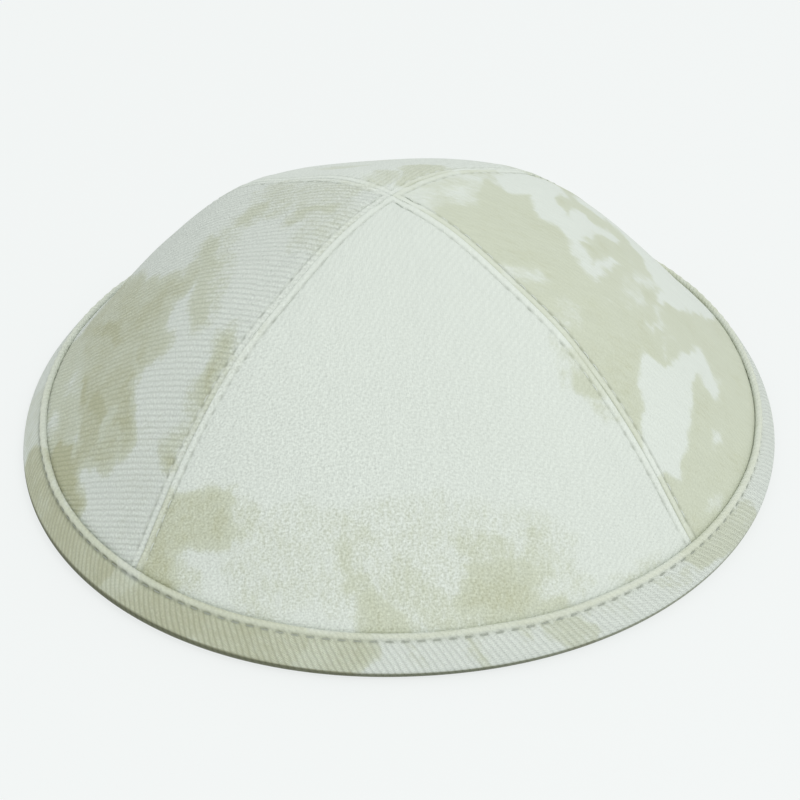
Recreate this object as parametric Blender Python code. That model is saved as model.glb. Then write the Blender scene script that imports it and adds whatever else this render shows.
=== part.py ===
"""A cloth skullcap of four panels with a bound rim, resting on its rim.

Units are metres and +Z is up. The origin is on the table, at the middle of the rim, and the panel at the
front faces -Y. Every piece is a wall of cloth with a small gap to its neighbours.
"""
import math
from collections import namedtuple

import bmesh
import bpy
import numpy as np

# Driving sizes
RIM_DIAMETER = 0.173  # across the outer fold of the binding, from seam to seam
CAP_HEIGHT = 0.0587  # from the table to the outside of the crown's point
LIP_DIAMETER = 0.1619  # across the upper edge of the binding, from seam to seam
LIP_HEIGHT = 0.0083  # of that edge over the table
CLOTH_WALL = 0.0011
PIECE_GAP = 0.0003  # between panels, and between a panel and the binding round its edge
FOOT_WIDTH = 0.0018  # of the flat ring that the folded edge presses on the table
TUCK_CLEARANCE = 0.0012  # from a panel's hidden lower edge to the fold of the binding
INNER_TURN_SHORT = 0.0008  # how far the binding's inner side stops below its lip
SEAM_ALLOWANCE = 0.006  # width of the cloth turned back inside along each seam
SEAM_STEP = 0.001  # over which that doubling thins out
SEAM_DOUBLING = 0.0005  # extra thickness inside, along each seam
SEAM_RISE = 0.0002  # how far the doubling lifts the outside
POINT_BLUNTING = 0.0009  # from the crown's point to the blunt tip of each panel
SIDEWAYS_LEAN = 0.0009  # of the crown's foot towards +X, against the middle of the rim
TURN_DEG = 2.4  # of all the seams about the upright axis

# The squareness of a level section: two is a circle, and more is fuller at the seams
SQUARENESS_AT_POINT = 3.05
SQUARENESS_AT_RIM = 2.07
SQUARENESS_FADE = 3.05  # how late the sections turn round on the way down

# The crown's outline up a seam, from its point down to the lip
Ring = namedtuple("Ring", "way_out height")  # shares of the crown's radius and of its rise
PROFILE = (
    Ring(0.0, 1.0),
    Ring(0.2, 0.961),
    Ring(0.4, 0.840),
    Ring(0.6, 0.677),
    Ring(0.8, 0.397),
    Ring(1.0, 0.0),
)

# Where the columns of faces lie, from a seam to the middle of its panel
Column = namedtuple("Column", "from_seam share_of_half_panel")  # the nearer of the two counts
NO_LIMIT = math.inf
COLUMNS = (
    Column(SEAM_ALLOWANCE / 2, 0.08),
    Column(SEAM_ALLOWANCE, 0.16),
    Column(SEAM_ALLOWANCE + SEAM_STEP, 0.22),
    Column(NO_LIMIT, 0.26),
    Column(NO_LIMIT, 0.41),
    Column(NO_LIMIT, 0.55),
    Column(NO_LIMIT, 0.70),
    Column(NO_LIMIT, 0.85),
    Column(NO_LIMIT, 1.0),
)
CROWN_ROWS = 16
TUCK_ROWS = 2
RIM_STEPS = 92
FOLD_STEPS = 4  # faces round each side of the fold
END_STEPS = 2  # faces round each raw end of the binding

HALF_PANEL = math.pi / 4

Panel = namedtuple("Panel", "name quarter_turns colour")
PANELS = (
    Panel("panel_front", 0, (0.66, 0.71, 0.66)),
    Panel("panel_right", 1, (0.60, 0.65, 0.55)),
    Panel("panel_back", 2, (0.62, 0.67, 0.58)),
    Panel("panel_left", 3, (0.50, 0.55, 0.45)),
)
PANEL_ROUGHNESS = 0.86
BINDING_COLOUR = (0.52, 0.56, 0.45)
BINDING_ROUGHNESS = 0.9


def binding_frame():
    """The binding's section: the fold's centre, the length of its sides and the way that they slope.

    The sides are straight and tangent to the fold, and the outer one ends at the lip.
    """
    half = (3 * CLOTH_WALL + 2 * PIECE_GAP) / 2
    fold = np.array([RIM_DIAMETER / 2 - half, math.sqrt(half**2 - (FOOT_WIDTH / 2) ** 2)])
    to_lip = np.array([LIP_DIAMETER / 2, LIP_HEIGHT]) - fold
    reach = np.hypot(*to_lip)
    side = math.sqrt(reach**2 - half**2)
    slope = math.pi - math.asin(half / reach) - math.atan2(to_lip[1], to_lip[0])
    up = np.array([-math.cos(slope), math.sin(slope)])
    out = np.array([math.sin(slope), math.cos(slope)])
    return half, fold, side, up, out


HALF_BINDING, FOLD, SIDE_LENGTH, SIDE_UP, SIDE_OUT = binding_frame()
LIP = np.array([LIP_DIAMETER / 2, LIP_HEIGHT])
CROWN_FOOT = LIP - (CLOTH_WALL + PIECE_GAP) * SIDE_OUT  # where a panel's outside goes in under the lip
TUCK = SIDE_LENGTH - TUCK_CLEARANCE


def smooth_curve(places, values, at):
    """A cubic through the given values, whose slope at each is that of its neighbours."""
    slopes = np.gradient(values, places, edge_order=2)
    piece = np.clip(np.searchsorted(places, at, side="right") - 1, 0, len(places) - 2)
    width = places[piece + 1] - places[piece]
    s = (at - places[piece]) / width
    start = (1 + 2 * s) * (1 - s) ** 2 * values[piece] + s * (1 - s) ** 2 * width * slopes[piece]
    end = s**2 * (3 - 2 * s) * values[piece + 1] + s**2 * (s - 1) * width * slopes[piece + 1]
    return start + end


def foot_share(height):
    """How much of the sideways lean a height below the crown's foot takes: none at the fold, all at the foot."""
    return np.clip((height - FOLD[1]) / (CROWN_FOOT[1] - FOLD[1]), 0, 1)


def fullness(power, bearing):
    """The radius of a superellipse with corners at the seams, as a share of its radius there."""
    spread = (np.abs(np.cos(bearing)) ** power + np.abs(np.sin(bearing)) ** power) ** (1 / power)
    return 2 ** (1 / power) * math.sqrt(0.5) / spread


def crown_outside(way, bearing):
    """Points on the outside of the crown.

    way runs from 0 at the point to 1 at the lip, and past 1 down the tuck. bearing is the angle from the
    middle of a panel.
    """
    above = np.minimum(way, 1)
    fade = 1 - above**SQUARENESS_FADE
    power = SQUARENESS_AT_RIM + (SQUARENESS_AT_POINT - SQUARENESS_AT_RIM) * fade
    way_out, share = np.array(PROFILE).T
    rise = smooth_curve(way_out, share, above)
    down = np.maximum(way - 1, 0) * CROWN_FOOT[0]
    radius = (CROWN_FOOT[0] * above - SIDE_UP[0] * down) * fullness(power, bearing)
    height = CROWN_FOOT[1] + (CAP_HEIGHT - CROWN_FOOT[1]) * rise - SIDE_UP[1] * down
    lean = SIDEWAYS_LEAN * np.where(way <= 1, above, foot_share(height))
    return radius, height, lean


def placed(way, bearing, turn):
    """The same points in space, with the panel turned to its side of the cap."""
    radius, height, lean = crown_outside(way, bearing)
    heading = bearing + turn
    return np.stack([radius * np.cos(heading) + lean, radius * np.sin(heading), height], axis=-1)


def outward(way, bearing, turn):
    """Unit normals of that surface, from small steps both ways."""
    step = 1e-4
    along = placed(way + step, bearing, turn) - placed(way - step, bearing, turn)
    across = placed(way, bearing + step, turn) - placed(way, bearing - step, turn)
    normal = np.cross(along, across)
    return normal / np.linalg.norm(normal, axis=-1, keepdims=True)


def panel_grid():
    """way, bearing and distance from the nearer seam, at each corner of a panel's faces."""
    last = 1 + TUCK / CROWN_FOOT[0]
    ways = np.concatenate([
        np.linspace(POINT_BLUNTING / CROWN_FOOT[0], 1, CROWN_ROWS + 1),
        np.linspace(1, last, TUCK_ROWS + 1)[1:],
    ])
    radius = CROWN_FOOT[0] * ways
    edge = np.arcsin(PIECE_GAP / 2 / radius)
    shares = [np.zeros_like(ways)]
    for column in COLUMNS:
        angle = np.arcsin(np.minimum(column.from_seam / radius, 1))
        shares.append(np.minimum((angle - edge) / (HALF_PANEL - edge), column.share_of_half_panel))
    from_edge = edge[:, None] + (HALF_PANEL - edge)[:, None] * np.stack(shares, axis=1)
    half = HALF_PANEL - from_edge
    bearing = np.concatenate([-half, half[:, -2::-1]], axis=1)
    way = np.repeat(ways[:, None], bearing.shape[1], axis=1)
    distance = radius[:, None] * np.sin(HALF_PANEL - np.abs(bearing))
    return way, bearing, distance


def sheet(mesh, points):
    """A grid of faces through a grid of points. Returns the edges of its border."""
    rows, columns = points.shape[:2]
    corners = [[mesh.verts.new(point) for point in row] for row in points]
    faces = []
    for i in range(rows - 1):
        for j in range(columns - 1):
            ring = (corners[i][j], corners[i + 1][j], corners[i + 1][j + 1], corners[i][j + 1])
            faces.append(mesh.faces.new(ring))
    return [edge for face in faces for edge in face.edges if edge.is_boundary]


def finish(mesh, name, colour, roughness, parent):
    """Turns a bmesh into a named object with its own cloth material."""
    bmesh.ops.recalc_face_normals(mesh, faces=mesh.faces)
    data = bpy.data.meshes.new(name)
    mesh.to_mesh(data)
    mesh.free()
    data.shade_smooth()
    data.set_sharp_from_angle(angle=math.radians(40))
    piece = bpy.data.objects.new(name, data)
    piece.parent = parent
    bpy.context.scene.collection.objects.link(piece)
    cloth = bpy.data.materials.new(name + "_cloth")
    cloth.use_nodes = True
    shader = cloth.node_tree.nodes["Principled BSDF"]
    shader.inputs["Base Color"].default_value = (*colour, 1)
    shader.inputs["Roughness"].default_value = roughness
    shader.inputs["Metallic"].default_value = 0
    data.materials.append(cloth)
    return piece


def make_panel(panel, parent):
    """One quarter of the crown: a curved wall, doubled inside along its two seams."""
    way, bearing, distance = panel_grid()
    turn = math.radians(TURN_DEG - 90) + panel.quarter_turns * math.pi / 2
    doubled = np.clip((SEAM_ALLOWANCE + SEAM_STEP - distance) / SEAM_STEP, 0, 1) * (way < 1)
    outside = placed(way, bearing, turn)
    normal = outward(way, bearing, turn)
    outer = outside + normal * (SEAM_RISE * doubled)[..., None]
    inner = outside - normal * (CLOTH_WALL + SEAM_DOUBLING * doubled)[..., None]
    mesh = bmesh.new()
    border = sheet(mesh, outer) + sheet(mesh, inner)
    bmesh.ops.bridge_loops(mesh, edges=border)
    return finish(mesh, panel.name, panel.colour, PANEL_ROUGHNESS, parent)


def binding_section():
    """The closed outline of the binding's section: a U of cloth, folded at the rim, open upwards.

    along runs up the sides from the fold's centre and across runs from the inner side to the outer one.
    """
    slope = math.atan2(SIDE_UP[1], -SIDE_UP[0])
    foot = math.asin(FOOT_WIDTH / 2 / HALF_BINDING)
    channel = HALF_BINDING - CLOTH_WALL

    def side(along, across):
        return FOLD + SIDE_UP * along + SIDE_OUT * across

    def arc(radius, start, stop, steps):
        angles = np.linspace(start, stop, steps + 1)
        return [FOLD + radius * np.array([math.cos(angle), math.sin(angle)]) for angle in angles]

    def raw_end(length, across):
        middle = side(length - CLOTH_WALL / 2, across)
        turns = np.linspace(-math.pi / 2, math.pi / 2, END_STEPS + 1)
        return [middle + CLOTH_WALL / 2 * (math.cos(t) * SIDE_UP + math.sin(t) * SIDE_OUT) for t in turns]

    outward_angle = math.pi / 2 - slope
    outer = arc(HALF_BINDING, outward_angle, foot - math.pi / 2, FOLD_STEPS)
    inner = arc(HALF_BINDING, -foot - math.pi / 2, outward_angle - math.pi, FOLD_STEPS)
    inside = arc(channel, outward_angle - math.pi, outward_angle, FOLD_STEPS)
    middle_of_wall = HALF_BINDING - CLOTH_WALL / 2
    lip = raw_end(SIDE_LENGTH, middle_of_wall)
    turn_in = raw_end(SIDE_LENGTH - INNER_TURN_SHORT, -middle_of_wall)
    return outer + inner + turn_in + inside + lip


def make_binding(parent):
    """The folded tape round the rim: spun from its section, squared at the seams and leant."""
    mesh = bmesh.new()
    corners = [mesh.verts.new((radius, 0, height)) for radius, height in binding_section()]
    loop = [mesh.edges.new((a, b)) for a, b in zip(corners, corners[1:] + corners[:1])]
    bmesh.ops.spin(
        mesh, geom=corners + loop, cent=(0, 0, 0), axis=(0, 0, 1), angle=2 * math.pi,
        steps=RIM_STEPS, use_merge=True,
    )
    bmesh.ops.remove_doubles(mesh, verts=mesh.verts, dist=PIECE_GAP / 100)
    for corner in mesh.verts:
        bearing = math.atan2(corner.co.y, corner.co.x) - math.radians(TURN_DEG)
        corner.co.xy *= float(fullness(SQUARENESS_AT_RIM, bearing))
        corner.co.x += SIDEWAYS_LEAN * float(foot_share(corner.co.z))
    return finish(mesh, "rim_binding", BINDING_COLOUR, BINDING_ROUGHNESS, parent)


def main():
    for leftover in list(bpy.data.objects):
        bpy.data.objects.remove(leftover)
    cap = bpy.data.objects.new("cap", None)
    bpy.context.scene.collection.objects.link(cap)
    for panel in PANELS:
        make_panel(panel, cap)
    make_binding(cap)


main()
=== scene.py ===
# %% [markdown]
# # A sewn skullcap, dressed round its solids
#
# The solids of the cap are already there: four quarter panels and a folded binding. This lesson dresses
# them as cloth. It loads the solids as a fixed frame. The dressed cap must not outgrow them.

# %% Load the frame
import math
from collections import namedtuple

import bpy
import numpy as np
from mathutils import Matrix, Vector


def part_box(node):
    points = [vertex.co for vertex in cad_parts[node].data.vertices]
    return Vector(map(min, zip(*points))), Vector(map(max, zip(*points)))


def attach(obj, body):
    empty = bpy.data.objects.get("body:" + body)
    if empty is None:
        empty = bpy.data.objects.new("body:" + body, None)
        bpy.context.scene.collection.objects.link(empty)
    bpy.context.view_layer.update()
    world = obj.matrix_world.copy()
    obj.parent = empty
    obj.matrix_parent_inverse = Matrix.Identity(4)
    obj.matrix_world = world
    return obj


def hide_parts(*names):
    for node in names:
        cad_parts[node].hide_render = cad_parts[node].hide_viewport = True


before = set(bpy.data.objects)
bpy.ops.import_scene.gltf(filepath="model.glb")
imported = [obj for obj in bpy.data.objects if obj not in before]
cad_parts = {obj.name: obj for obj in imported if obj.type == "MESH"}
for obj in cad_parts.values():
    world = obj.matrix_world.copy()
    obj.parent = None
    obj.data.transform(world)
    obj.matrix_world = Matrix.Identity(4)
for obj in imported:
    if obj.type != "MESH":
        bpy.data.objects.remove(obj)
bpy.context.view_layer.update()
MM = 0.001
print("solids:", sorted(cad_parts))

# %% [markdown]
# # The camera
#
# The photograph looks down at the front panel from close by, with a short telephoto lens. A close camera
# makes the rim's far side look smaller, so its distance matters as much as its angle. The lens is written as
# a focal length in pixels of the picture, and Blender wants it in millimetres on a sensor 36 mm wide.

# %% Set up the camera
PICTURE_PX = 800
FOCAL_PX = 1968.6
SENSOR = 36.0
CAMERA_PLACE = np.array([0.93, -358.10, 274.72]) * MM
CAMERA_DOWN_DEG = 37.026  # below the horizon
CAMERA_ROLL_DEG = 1.174
NEAREST_SEEN, FARTHEST_SEEN = 0.01, 20


def camera_axes():
    """The camera's own right, up and back, as the rows of an array.

    A camera that looks along +Y and down has plain right and up axes. The roll turns these two about the
    line of sight.
    """
    down, roll = math.radians(CAMERA_DOWN_DEG), math.radians(CAMERA_ROLL_DEG)
    right = np.array([1, 0, 0])
    up = np.array([0, math.sin(down), math.cos(down)])
    back = np.array([0, -math.cos(down), math.sin(down)])
    return np.array([
        math.cos(roll) * right - math.sin(roll) * up,
        math.sin(roll) * right + math.cos(roll) * up,
        back,
    ])


lens = bpy.data.cameras.new("camera")
lens.sensor_width = SENSOR
lens.lens = FOCAL_PX / PICTURE_PX * SENSOR
lens.clip_start, lens.clip_end = NEAREST_SEEN, FARTHEST_SEEN
camera = bpy.data.objects.new("camera", lens)
bpy.context.scene.collection.objects.link(camera)
camera.matrix_world = Matrix.Translation(CAMERA_PLACE) @ Matrix(camera_axes().T.tolist()).to_4x4()
bpy.context.scene.camera = camera
print("lens:", round(lens.lens, 1), "mm")

# %% [markdown]
# # Small helpers for shader nodes
#
# Every material here is a small network of nodes. Written out in full, each node takes three or four lines,
# so three helpers shorten that: one makes a node, one feeds a socket with a number or a link, and one makes
# a Math node and returns its result.

# %% Node helpers


def node(tree, kind, **settings):
    """Adds a node and sets its named properties."""
    made = tree.nodes.new(kind)
    for name, value in settings.items():
        setattr(made, name, value)
    return made


def feed(tree, socket, value):
    """Links another node's output to a socket, or types a plain value into it."""
    if isinstance(value, bpy.types.NodeSocket):
        tree.links.new(value, socket)
    else:
        socket.default_value = value


def calc(tree, operation, *values):
    """One Math node on one to three values."""
    made = node(tree, "ShaderNodeMath", operation=operation)
    for socket, value in zip(made.inputs, values):
        feed(tree, socket, value)
    return made.outputs[0]


print("helpers:", [helper.__name__ for helper in (node, feed, calc)])

# %% [markdown]
# # Helpers for colour, noise and groups
#
# Cloth needs three things again and again: a soft step from one value to another, a blend of two colours,
# and soft noise. A node group is a small network with named sockets that several materials share. It is made
# once and then placed in each material with that material's own values.

# %% Colour, noise and group helpers


def remap(tree, value, low, high, to_low=0.0, to_high=1.0):
    """A smooth step: to_low below low, to_high above high, and an S-shaped curve between them."""
    made = node(tree, "ShaderNodeMapRange", interpolation_type="SMOOTHSTEP")
    for name, number in (("Value", value), ("From Min", low), ("From Max", high),
                         ("To Min", to_low), ("To Max", to_high)):
        feed(tree, made.inputs[name], number)
    return made.outputs["Result"]


def blend_colour(tree, share, first, second, blend="MIX"):
    """A Mix node on two colours."""
    made = node(tree, "ShaderNodeMix", data_type="RGBA", blend_type=blend)
    feed(tree, made.inputs["Factor"], share)
    feed(tree, made.inputs["A"], first)
    feed(tree, made.inputs["B"], second)
    return made.outputs["Result"]


def cloud(tree, vector, size, detail=2.0, roughness=0.5):
    """Soft noise about 0.5 whose lumps are about size across."""
    made = node(tree, "ShaderNodeTexNoise", noise_dimensions="3D")
    feed(tree, made.inputs["Vector"], vector)
    made.inputs["Scale"].default_value = 1 / size
    made.inputs["Detail"].default_value = detail
    made.inputs["Roughness"].default_value = roughness
    return made.outputs["Fac"]


def new_group(name, inputs, outputs):
    """An empty node group. inputs and outputs are rows of a socket's name, kind and resting value."""
    tree = bpy.data.node_groups.new(name, "ShaderNodeTree")
    for label, kind, value in inputs:
        socket = tree.interface.new_socket(name=label, in_out="INPUT", socket_type="NodeSocket" + kind)
        if value is not None:
            socket.default_value = value
    for label, kind in outputs:
        tree.interface.new_socket(name=label, in_out="OUTPUT", socket_type="NodeSocket" + kind)
    return tree, node(tree, "NodeGroupInput").outputs, node(tree, "NodeGroupOutput").inputs


def use_group(tree, group, **values):
    """Places a group in a material. An underscore in a value's name stands for a space."""
    made = node(tree, "ShaderNodeGroup", node_tree=group)
    for name, value in values.items():
        feed(tree, made.inputs[name.replace("_", " ")], value)
    return made.outputs


print("helpers:", [helper.__name__ for helper in (remap, blend_colour, cloud, new_group, use_group)])

# %% [markdown]
# # The floor
#
# The cap stands on a bright white sweep, as in a light tent, where the light that falls through the sweep
# makes it glow. A plain white floor would show a dark shadow round the cap. This one is dark by itself and
# glows, so most of its brightness doesn't depend on the lamps and the shadow on it stays thin.

# %% Make the floor
FLOOR_WIDTH = 6.0
FLOOR_BELOW = 0.00005  # so that the floor and the cap's foot don't share one plane
FLOOR_COLOUR = (0.15, 0.153, 0.152)
GLOW_COLOUR = (0.90, 0.925, 0.92)
GLOW_STRENGTH = 0.815


def make_floor():
    """A flat square, softly glowing."""
    mesh = bpy.data.meshes.new("floor")
    half = FLOOR_WIDTH / 2
    corners = [(-half, -half, -FLOOR_BELOW), (half, -half, -FLOOR_BELOW),
               (half, half, -FLOOR_BELOW), (-half, half, -FLOOR_BELOW)]
    mesh.from_pydata(corners, [], [(0, 1, 2, 3)])
    floor = bpy.data.objects.new("floor", mesh)
    bpy.context.scene.collection.objects.link(floor)
    material = bpy.data.materials.new("white_sweep")
    material.use_nodes = True
    shader = material.node_tree.nodes["Principled BSDF"]
    shader.inputs["Base Color"].default_value = (*FLOOR_COLOUR, 1)
    shader.inputs["Roughness"].default_value = 1.0
    shader.inputs["Specular IOR Level"].default_value = 0.0
    shader.inputs["Emission Color"].default_value = (*GLOW_COLOUR, 1)
    shader.inputs["Emission Strength"].default_value = GLOW_STRENGTH
    mesh.materials.append(material)
    return floor


floor = make_floor()
print("floor:", round(floor.dimensions.x, 1), "m wide")

# %% [markdown]
# # The light
#
# In a light tent the light comes from all round. The world's plain colour does that here. One wide lamp at
# the upper right makes the left panel a little darker and brings out the seams. A small lamp would do so too,
# but its shadows would have hard edges.

# %% Make the lights
WORLD_COLOUR = (0.905, 0.925, 0.92)
WORLD_STRENGTH = 0.97
Lamp = namedtuple("Lamp", "name place aim width watts colour")
KEY_LAMP = Lamp("key_lamp", (0.40, -0.38, 0.83), (0, 0, 0.02), 0.45, 2.6, (1.0, 0.99, 0.97))


def make_lamp(lamp):
    """A square area lamp that faces its aim.

    An area lamp shines along its own -Z, so that axis's opposite is the unit way from the aim to the lamp,
    and the two others are level and upright across it.
    """
    data = bpy.data.lights.new(lamp.name, "AREA")
    data.size = lamp.width
    data.energy = lamp.watts
    data.color = lamp.colour
    made = bpy.data.objects.new(lamp.name, data)
    bpy.context.scene.collection.objects.link(made)
    place, aim = np.array(lamp.place), np.array(lamp.aim)
    back = (place - aim) / np.linalg.norm(place - aim)
    right = np.cross((0, 0, 1), back)
    right /= np.linalg.norm(right)
    turned = np.array([right, np.cross(back, right), back])
    made.matrix_world = Matrix.Translation(place) @ Matrix(turned.T.tolist()).to_4x4()


make_lamp(KEY_LAMP)
world = bpy.data.worlds.new("light_tent")
world.use_nodes = True
background = world.node_tree.nodes["Background"].inputs
background["Color"].default_value = (*WORLD_COLOUR, 1)
background["Strength"].default_value = WORLD_STRENGTH
bpy.context.scene.world = world
bpy.context.scene.view_settings.view_transform = "Standard"
print("lamp:", KEY_LAMP.name, KEY_LAMP.watts, "W")

# %% [markdown]
# # The sizes of the cap
#
# The crown is a low dome whose level sections are a little square, fullest along the seams. The binding is
# a tape folded round the panels' lower edge, with straight sides that lean in at about 45 degrees. These are
# the same sizes and formulas as the solids', so the cloth lies where the solids are.

# %% Sizes of the cap, and the binding's section
RIM_DIAMETER = 0.173
CAP_HEIGHT = 0.0587
LIP_DIAMETER = 0.1619
LIP_HEIGHT = 0.0083
CLOTH_WALL = 0.0011
PIECE_GAP = 0.0003
FOOT_WIDTH = 0.0018
TUCK_CLEARANCE = 0.0012
INNER_TURN_SHORT = 0.0008
SIDEWAYS_LEAN = 0.0009
TURN_DEG = 2.4
SQUARENESS_AT_POINT = 3.05
SQUARENESS_AT_RIM = 2.07
SQUARENESS_FADE = 3.05
HALF_PANEL = math.pi / 4
Ring = namedtuple("Ring", "way_out height")
PROFILE = (
    Ring(0.0, 1.0),
    Ring(0.2, 0.961),
    Ring(0.4, 0.840),
    Ring(0.6, 0.677),
    Ring(0.8, 0.397),
    Ring(1.0, 0.0),
)


def binding_frame():
    """The binding's section: half its thickness, the fold's centre, its side's length, up and outward ways.

    The side is the tangent from the lip to the circle of the fold.
    """
    half = (3 * CLOTH_WALL + 2 * PIECE_GAP) / 2
    fold = np.array([RIM_DIAMETER / 2 - half, math.sqrt(half**2 - (FOOT_WIDTH / 2) ** 2)])
    to_lip = np.array([LIP_DIAMETER / 2, LIP_HEIGHT]) - fold
    reach = np.hypot(*to_lip)
    slope = math.pi - math.asin(half / reach) - math.atan2(to_lip[1], to_lip[0])
    up = np.array([-math.cos(slope), math.sin(slope)])
    out = np.array([math.sin(slope), math.cos(slope)])
    return half, fold, math.sqrt(reach**2 - half**2), up, out


HALF_BINDING, FOLD, SIDE_LENGTH, SIDE_UP, SIDE_OUT = binding_frame()
CROWN_FOOT = np.array([LIP_DIAMETER / 2, LIP_HEIGHT]) - (CLOTH_WALL + PIECE_GAP) * SIDE_OUT
TUCK = SIDE_LENGTH - TUCK_CLEARANCE
print("binding's side, mm:", round(SIDE_LENGTH / MM, 2), "panels tucked in, mm:", round(TUCK / MM, 2))

# %% [markdown]
# # The shape of the crown
#
# A dome of cloth could be modelled by hand from a sphere. A formula is better here, because each panel, each
# row of stitches and the tape must lie on exactly the same surface. The formula takes a place on the cap as
# two numbers, how far down from the point and which way round, and gives the point in space.

# %% Formulas of the crown


def smooth_curve(places, values, at):
    """A cubic through the given values, whose slope at each is that of its neighbours."""
    slopes = np.gradient(values, places, edge_order=2)
    piece = np.clip(np.searchsorted(places, at, side="right") - 1, 0, len(places) - 2)
    width = places[piece + 1] - places[piece]
    s = (at - places[piece]) / width
    start = (1 + 2 * s) * (1 - s) ** 2 * values[piece] + s * (1 - s) ** 2 * width * slopes[piece]
    end = s**2 * (3 - 2 * s) * values[piece + 1] + s**2 * (s - 1) * width * slopes[piece + 1]
    return start + end


def foot_share(height):
    """How much of the sideways lean a height takes: none at the fold, all at the crown's foot."""
    return np.clip((height - FOLD[1]) / (CROWN_FOOT[1] - FOLD[1]), 0, 1)


def fullness(power, bearing):
    """The radius of a superellipse with corners at the seams, as a share of its radius there."""
    spread = (np.abs(np.cos(bearing)) ** power + np.abs(np.sin(bearing)) ** power) ** (1 / power)
    return 2 ** (1 / power) * math.sqrt(0.5) / spread


def placed(way, bearing, turn):
    """Points on the crown's outside, for arrays of way and bearing.

    way runs from 0 at the point to 1 at the lip, and past 1 down the tuck under the binding. bearing is the
    angle from the middle of a panel, and turn is where that middle faces. The radius grows evenly with way,
    the height follows the profile, and each level section is a superellipse.
    """
    above = np.minimum(way, 1)
    power = SQUARENESS_AT_RIM + (SQUARENESS_AT_POINT - SQUARENESS_AT_RIM) * (1 - above**SQUARENESS_FADE)
    way_out, share = np.array(PROFILE).T
    rise = smooth_curve(way_out, share, above)
    down = np.maximum(way - 1, 0) * CROWN_FOOT[0]
    radius = (CROWN_FOOT[0] * above - SIDE_UP[0] * down) * fullness(power, bearing)
    height = CROWN_FOOT[1] + (CAP_HEIGHT - CROWN_FOOT[1]) * rise - SIDE_UP[1] * down
    lean = SIDEWAYS_LEAN * np.where(way <= 1, above, foot_share(height))
    heading = bearing + turn
    return np.stack([radius * np.cos(heading) + lean, radius * np.sin(heading), height], axis=-1)


def outward(way, bearing, turn):
    """Unit normals of that surface: the cross product of a small step down and a small step round."""
    step = 1e-4
    along = placed(way + step, bearing, turn) - placed(way - step, bearing, turn)
    across = placed(way, bearing + step, turn) - placed(way, bearing - step, turn)
    normal = np.cross(along, across)
    return normal / np.linalg.norm(normal, axis=-1, keepdims=True)


rim_low, rim_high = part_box("rim_binding")
across_panels = RIM_DIAMETER * float(fullness(SQUARENESS_AT_RIM, 0.0))
print("rim across the panels, mm:", round(across_panels / MM, 2))
print("the same of the solid, mm:", round((rim_high.y - rim_low.y) / MM, 2))

# %% [markdown]
# # How the soft cap lies
#
# A real cap isn't as true as its pattern. In the photograph its rim has drawn in a little where it rests, and
# the crown has sunk behind its point. A cloth simulation could find such a shape, but not this very one. So
# two small, smooth moves are added to every point of the dressed cap, thread and all, and nothing parts.

# %% Formula of the cap as it lies
RIM_PULL = 1.2 * MM  # how far the soft rim has drawn in at its foot
PULL_ALL_ROUND = 0.8  # share of that pull all the way round
PULL_TO_LEFT = 0.4  # and how much more of it there is on the left, and less on the right
SLUMP = 0.9 * MM  # how far the crown has sunk behind its point
SLUMP_PLACE = np.array([-14, 27]) * MM
SLUMP_REACH = 13 * MM


def as_it_lies(points):
    """Points of the sewn cap as it lies in the photograph.

    Below the lip the rim is drawn in, most at its foot and on the left. Behind the crown's point the cloth
    has sunk by a bell curve of the distance from one place.
    """
    x, y, z = points[..., 0], points[..., 1], points[..., 2]
    heading = np.arctan2(y, x)
    low = np.clip(1 - z / LIP_HEIGHT, 0, 1)
    draw = RIM_PULL * (PULL_ALL_ROUND - PULL_TO_LEFT * np.cos(heading)) * low
    away = np.hypot(x - SLUMP_PLACE[0], y - SLUMP_PLACE[1]) / SLUMP_REACH
    sink = SLUMP * np.exp(-away**2)
    return np.stack([x - draw * np.cos(heading), y - draw * np.sin(heading), z - sink], axis=-1)


point = placed(np.array([0.0]), np.array([0.0]), 0.0)
print("the crown's point, mm:", np.round(point / MM, 2)[0].tolist())
print("as it lies, mm:", np.round(as_it_lies(point) / MM, 2)[0].tolist())

# %% [markdown]
# # Sewing sizes
#
# The seams are pressed open and topstitched on both sides, so each has a groove where the two folds meet, a
# slightly raised strip on either side, and a row of stitches that pulls the cloth down. The stitch length
# sets the scale for all of it. A lockstitch's thread goes down a needle hole and comes up out of the same
# hole, so each hole shows as a small dent.

# %% Sewing sizes
STITCH_PITCH = 3.2 * MM
STITCH_INSET = 1.65 * MM  # from a seam to the stitches beside it
FIRST_STITCH = 2.4 * MM  # from the crown's point to the first needle hole
THREAD_RADIUS = 0.14 * MM
SEAM_ALLOWANCE = 6.0 * MM
SEAM_DOUBLING = 0.5 * MM  # how much deeper the inner side lies where the allowance is turned back
FOLD_RADIUS = 0.17 * MM  # of the cloth's edge where it turns in at a seam
SEAM_GAP = 0.02 * MM  # between the two folds of a seam
ROW_DIP = 0.05 * MM  # how far a row of stitches pulls the cloth down
HOLE_DIP = 0.22 * MM  # and at a needle hole
HOLE_LENGTH = 0.80 * MM  # of the dent at a hole, along the row
ROW_WIDTH = 0.32 * MM
print("stitches per 100 mm of seam:", round(100 * MM / STITCH_PITCH, 1))

# %% [markdown]
# # Soft noise and soft steps
#
# Cloth is never quite even, so many shapes below add a little soft noise. Blender has noise textures, but
# here the points are worked out in numpy, before there is a mesh. The noise is a small table of random
# numbers, always the same ones, with smooth curves from each number to the next.

# %% Noise and curves for numpy
NOISE_GRID = 64  # numbers along each side of the table, after which the noise repeats


def s_curve(share):
    """A soft step for a share from 0 to 1: three times its square less twice its cube."""
    return share * share * (3 - 2 * share)


def bump(distance, radius):
    """A bell curve: 1 at no distance, and nearly 0 at twice the radius."""
    return np.exp(-((distance / radius) ** 2))


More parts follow.
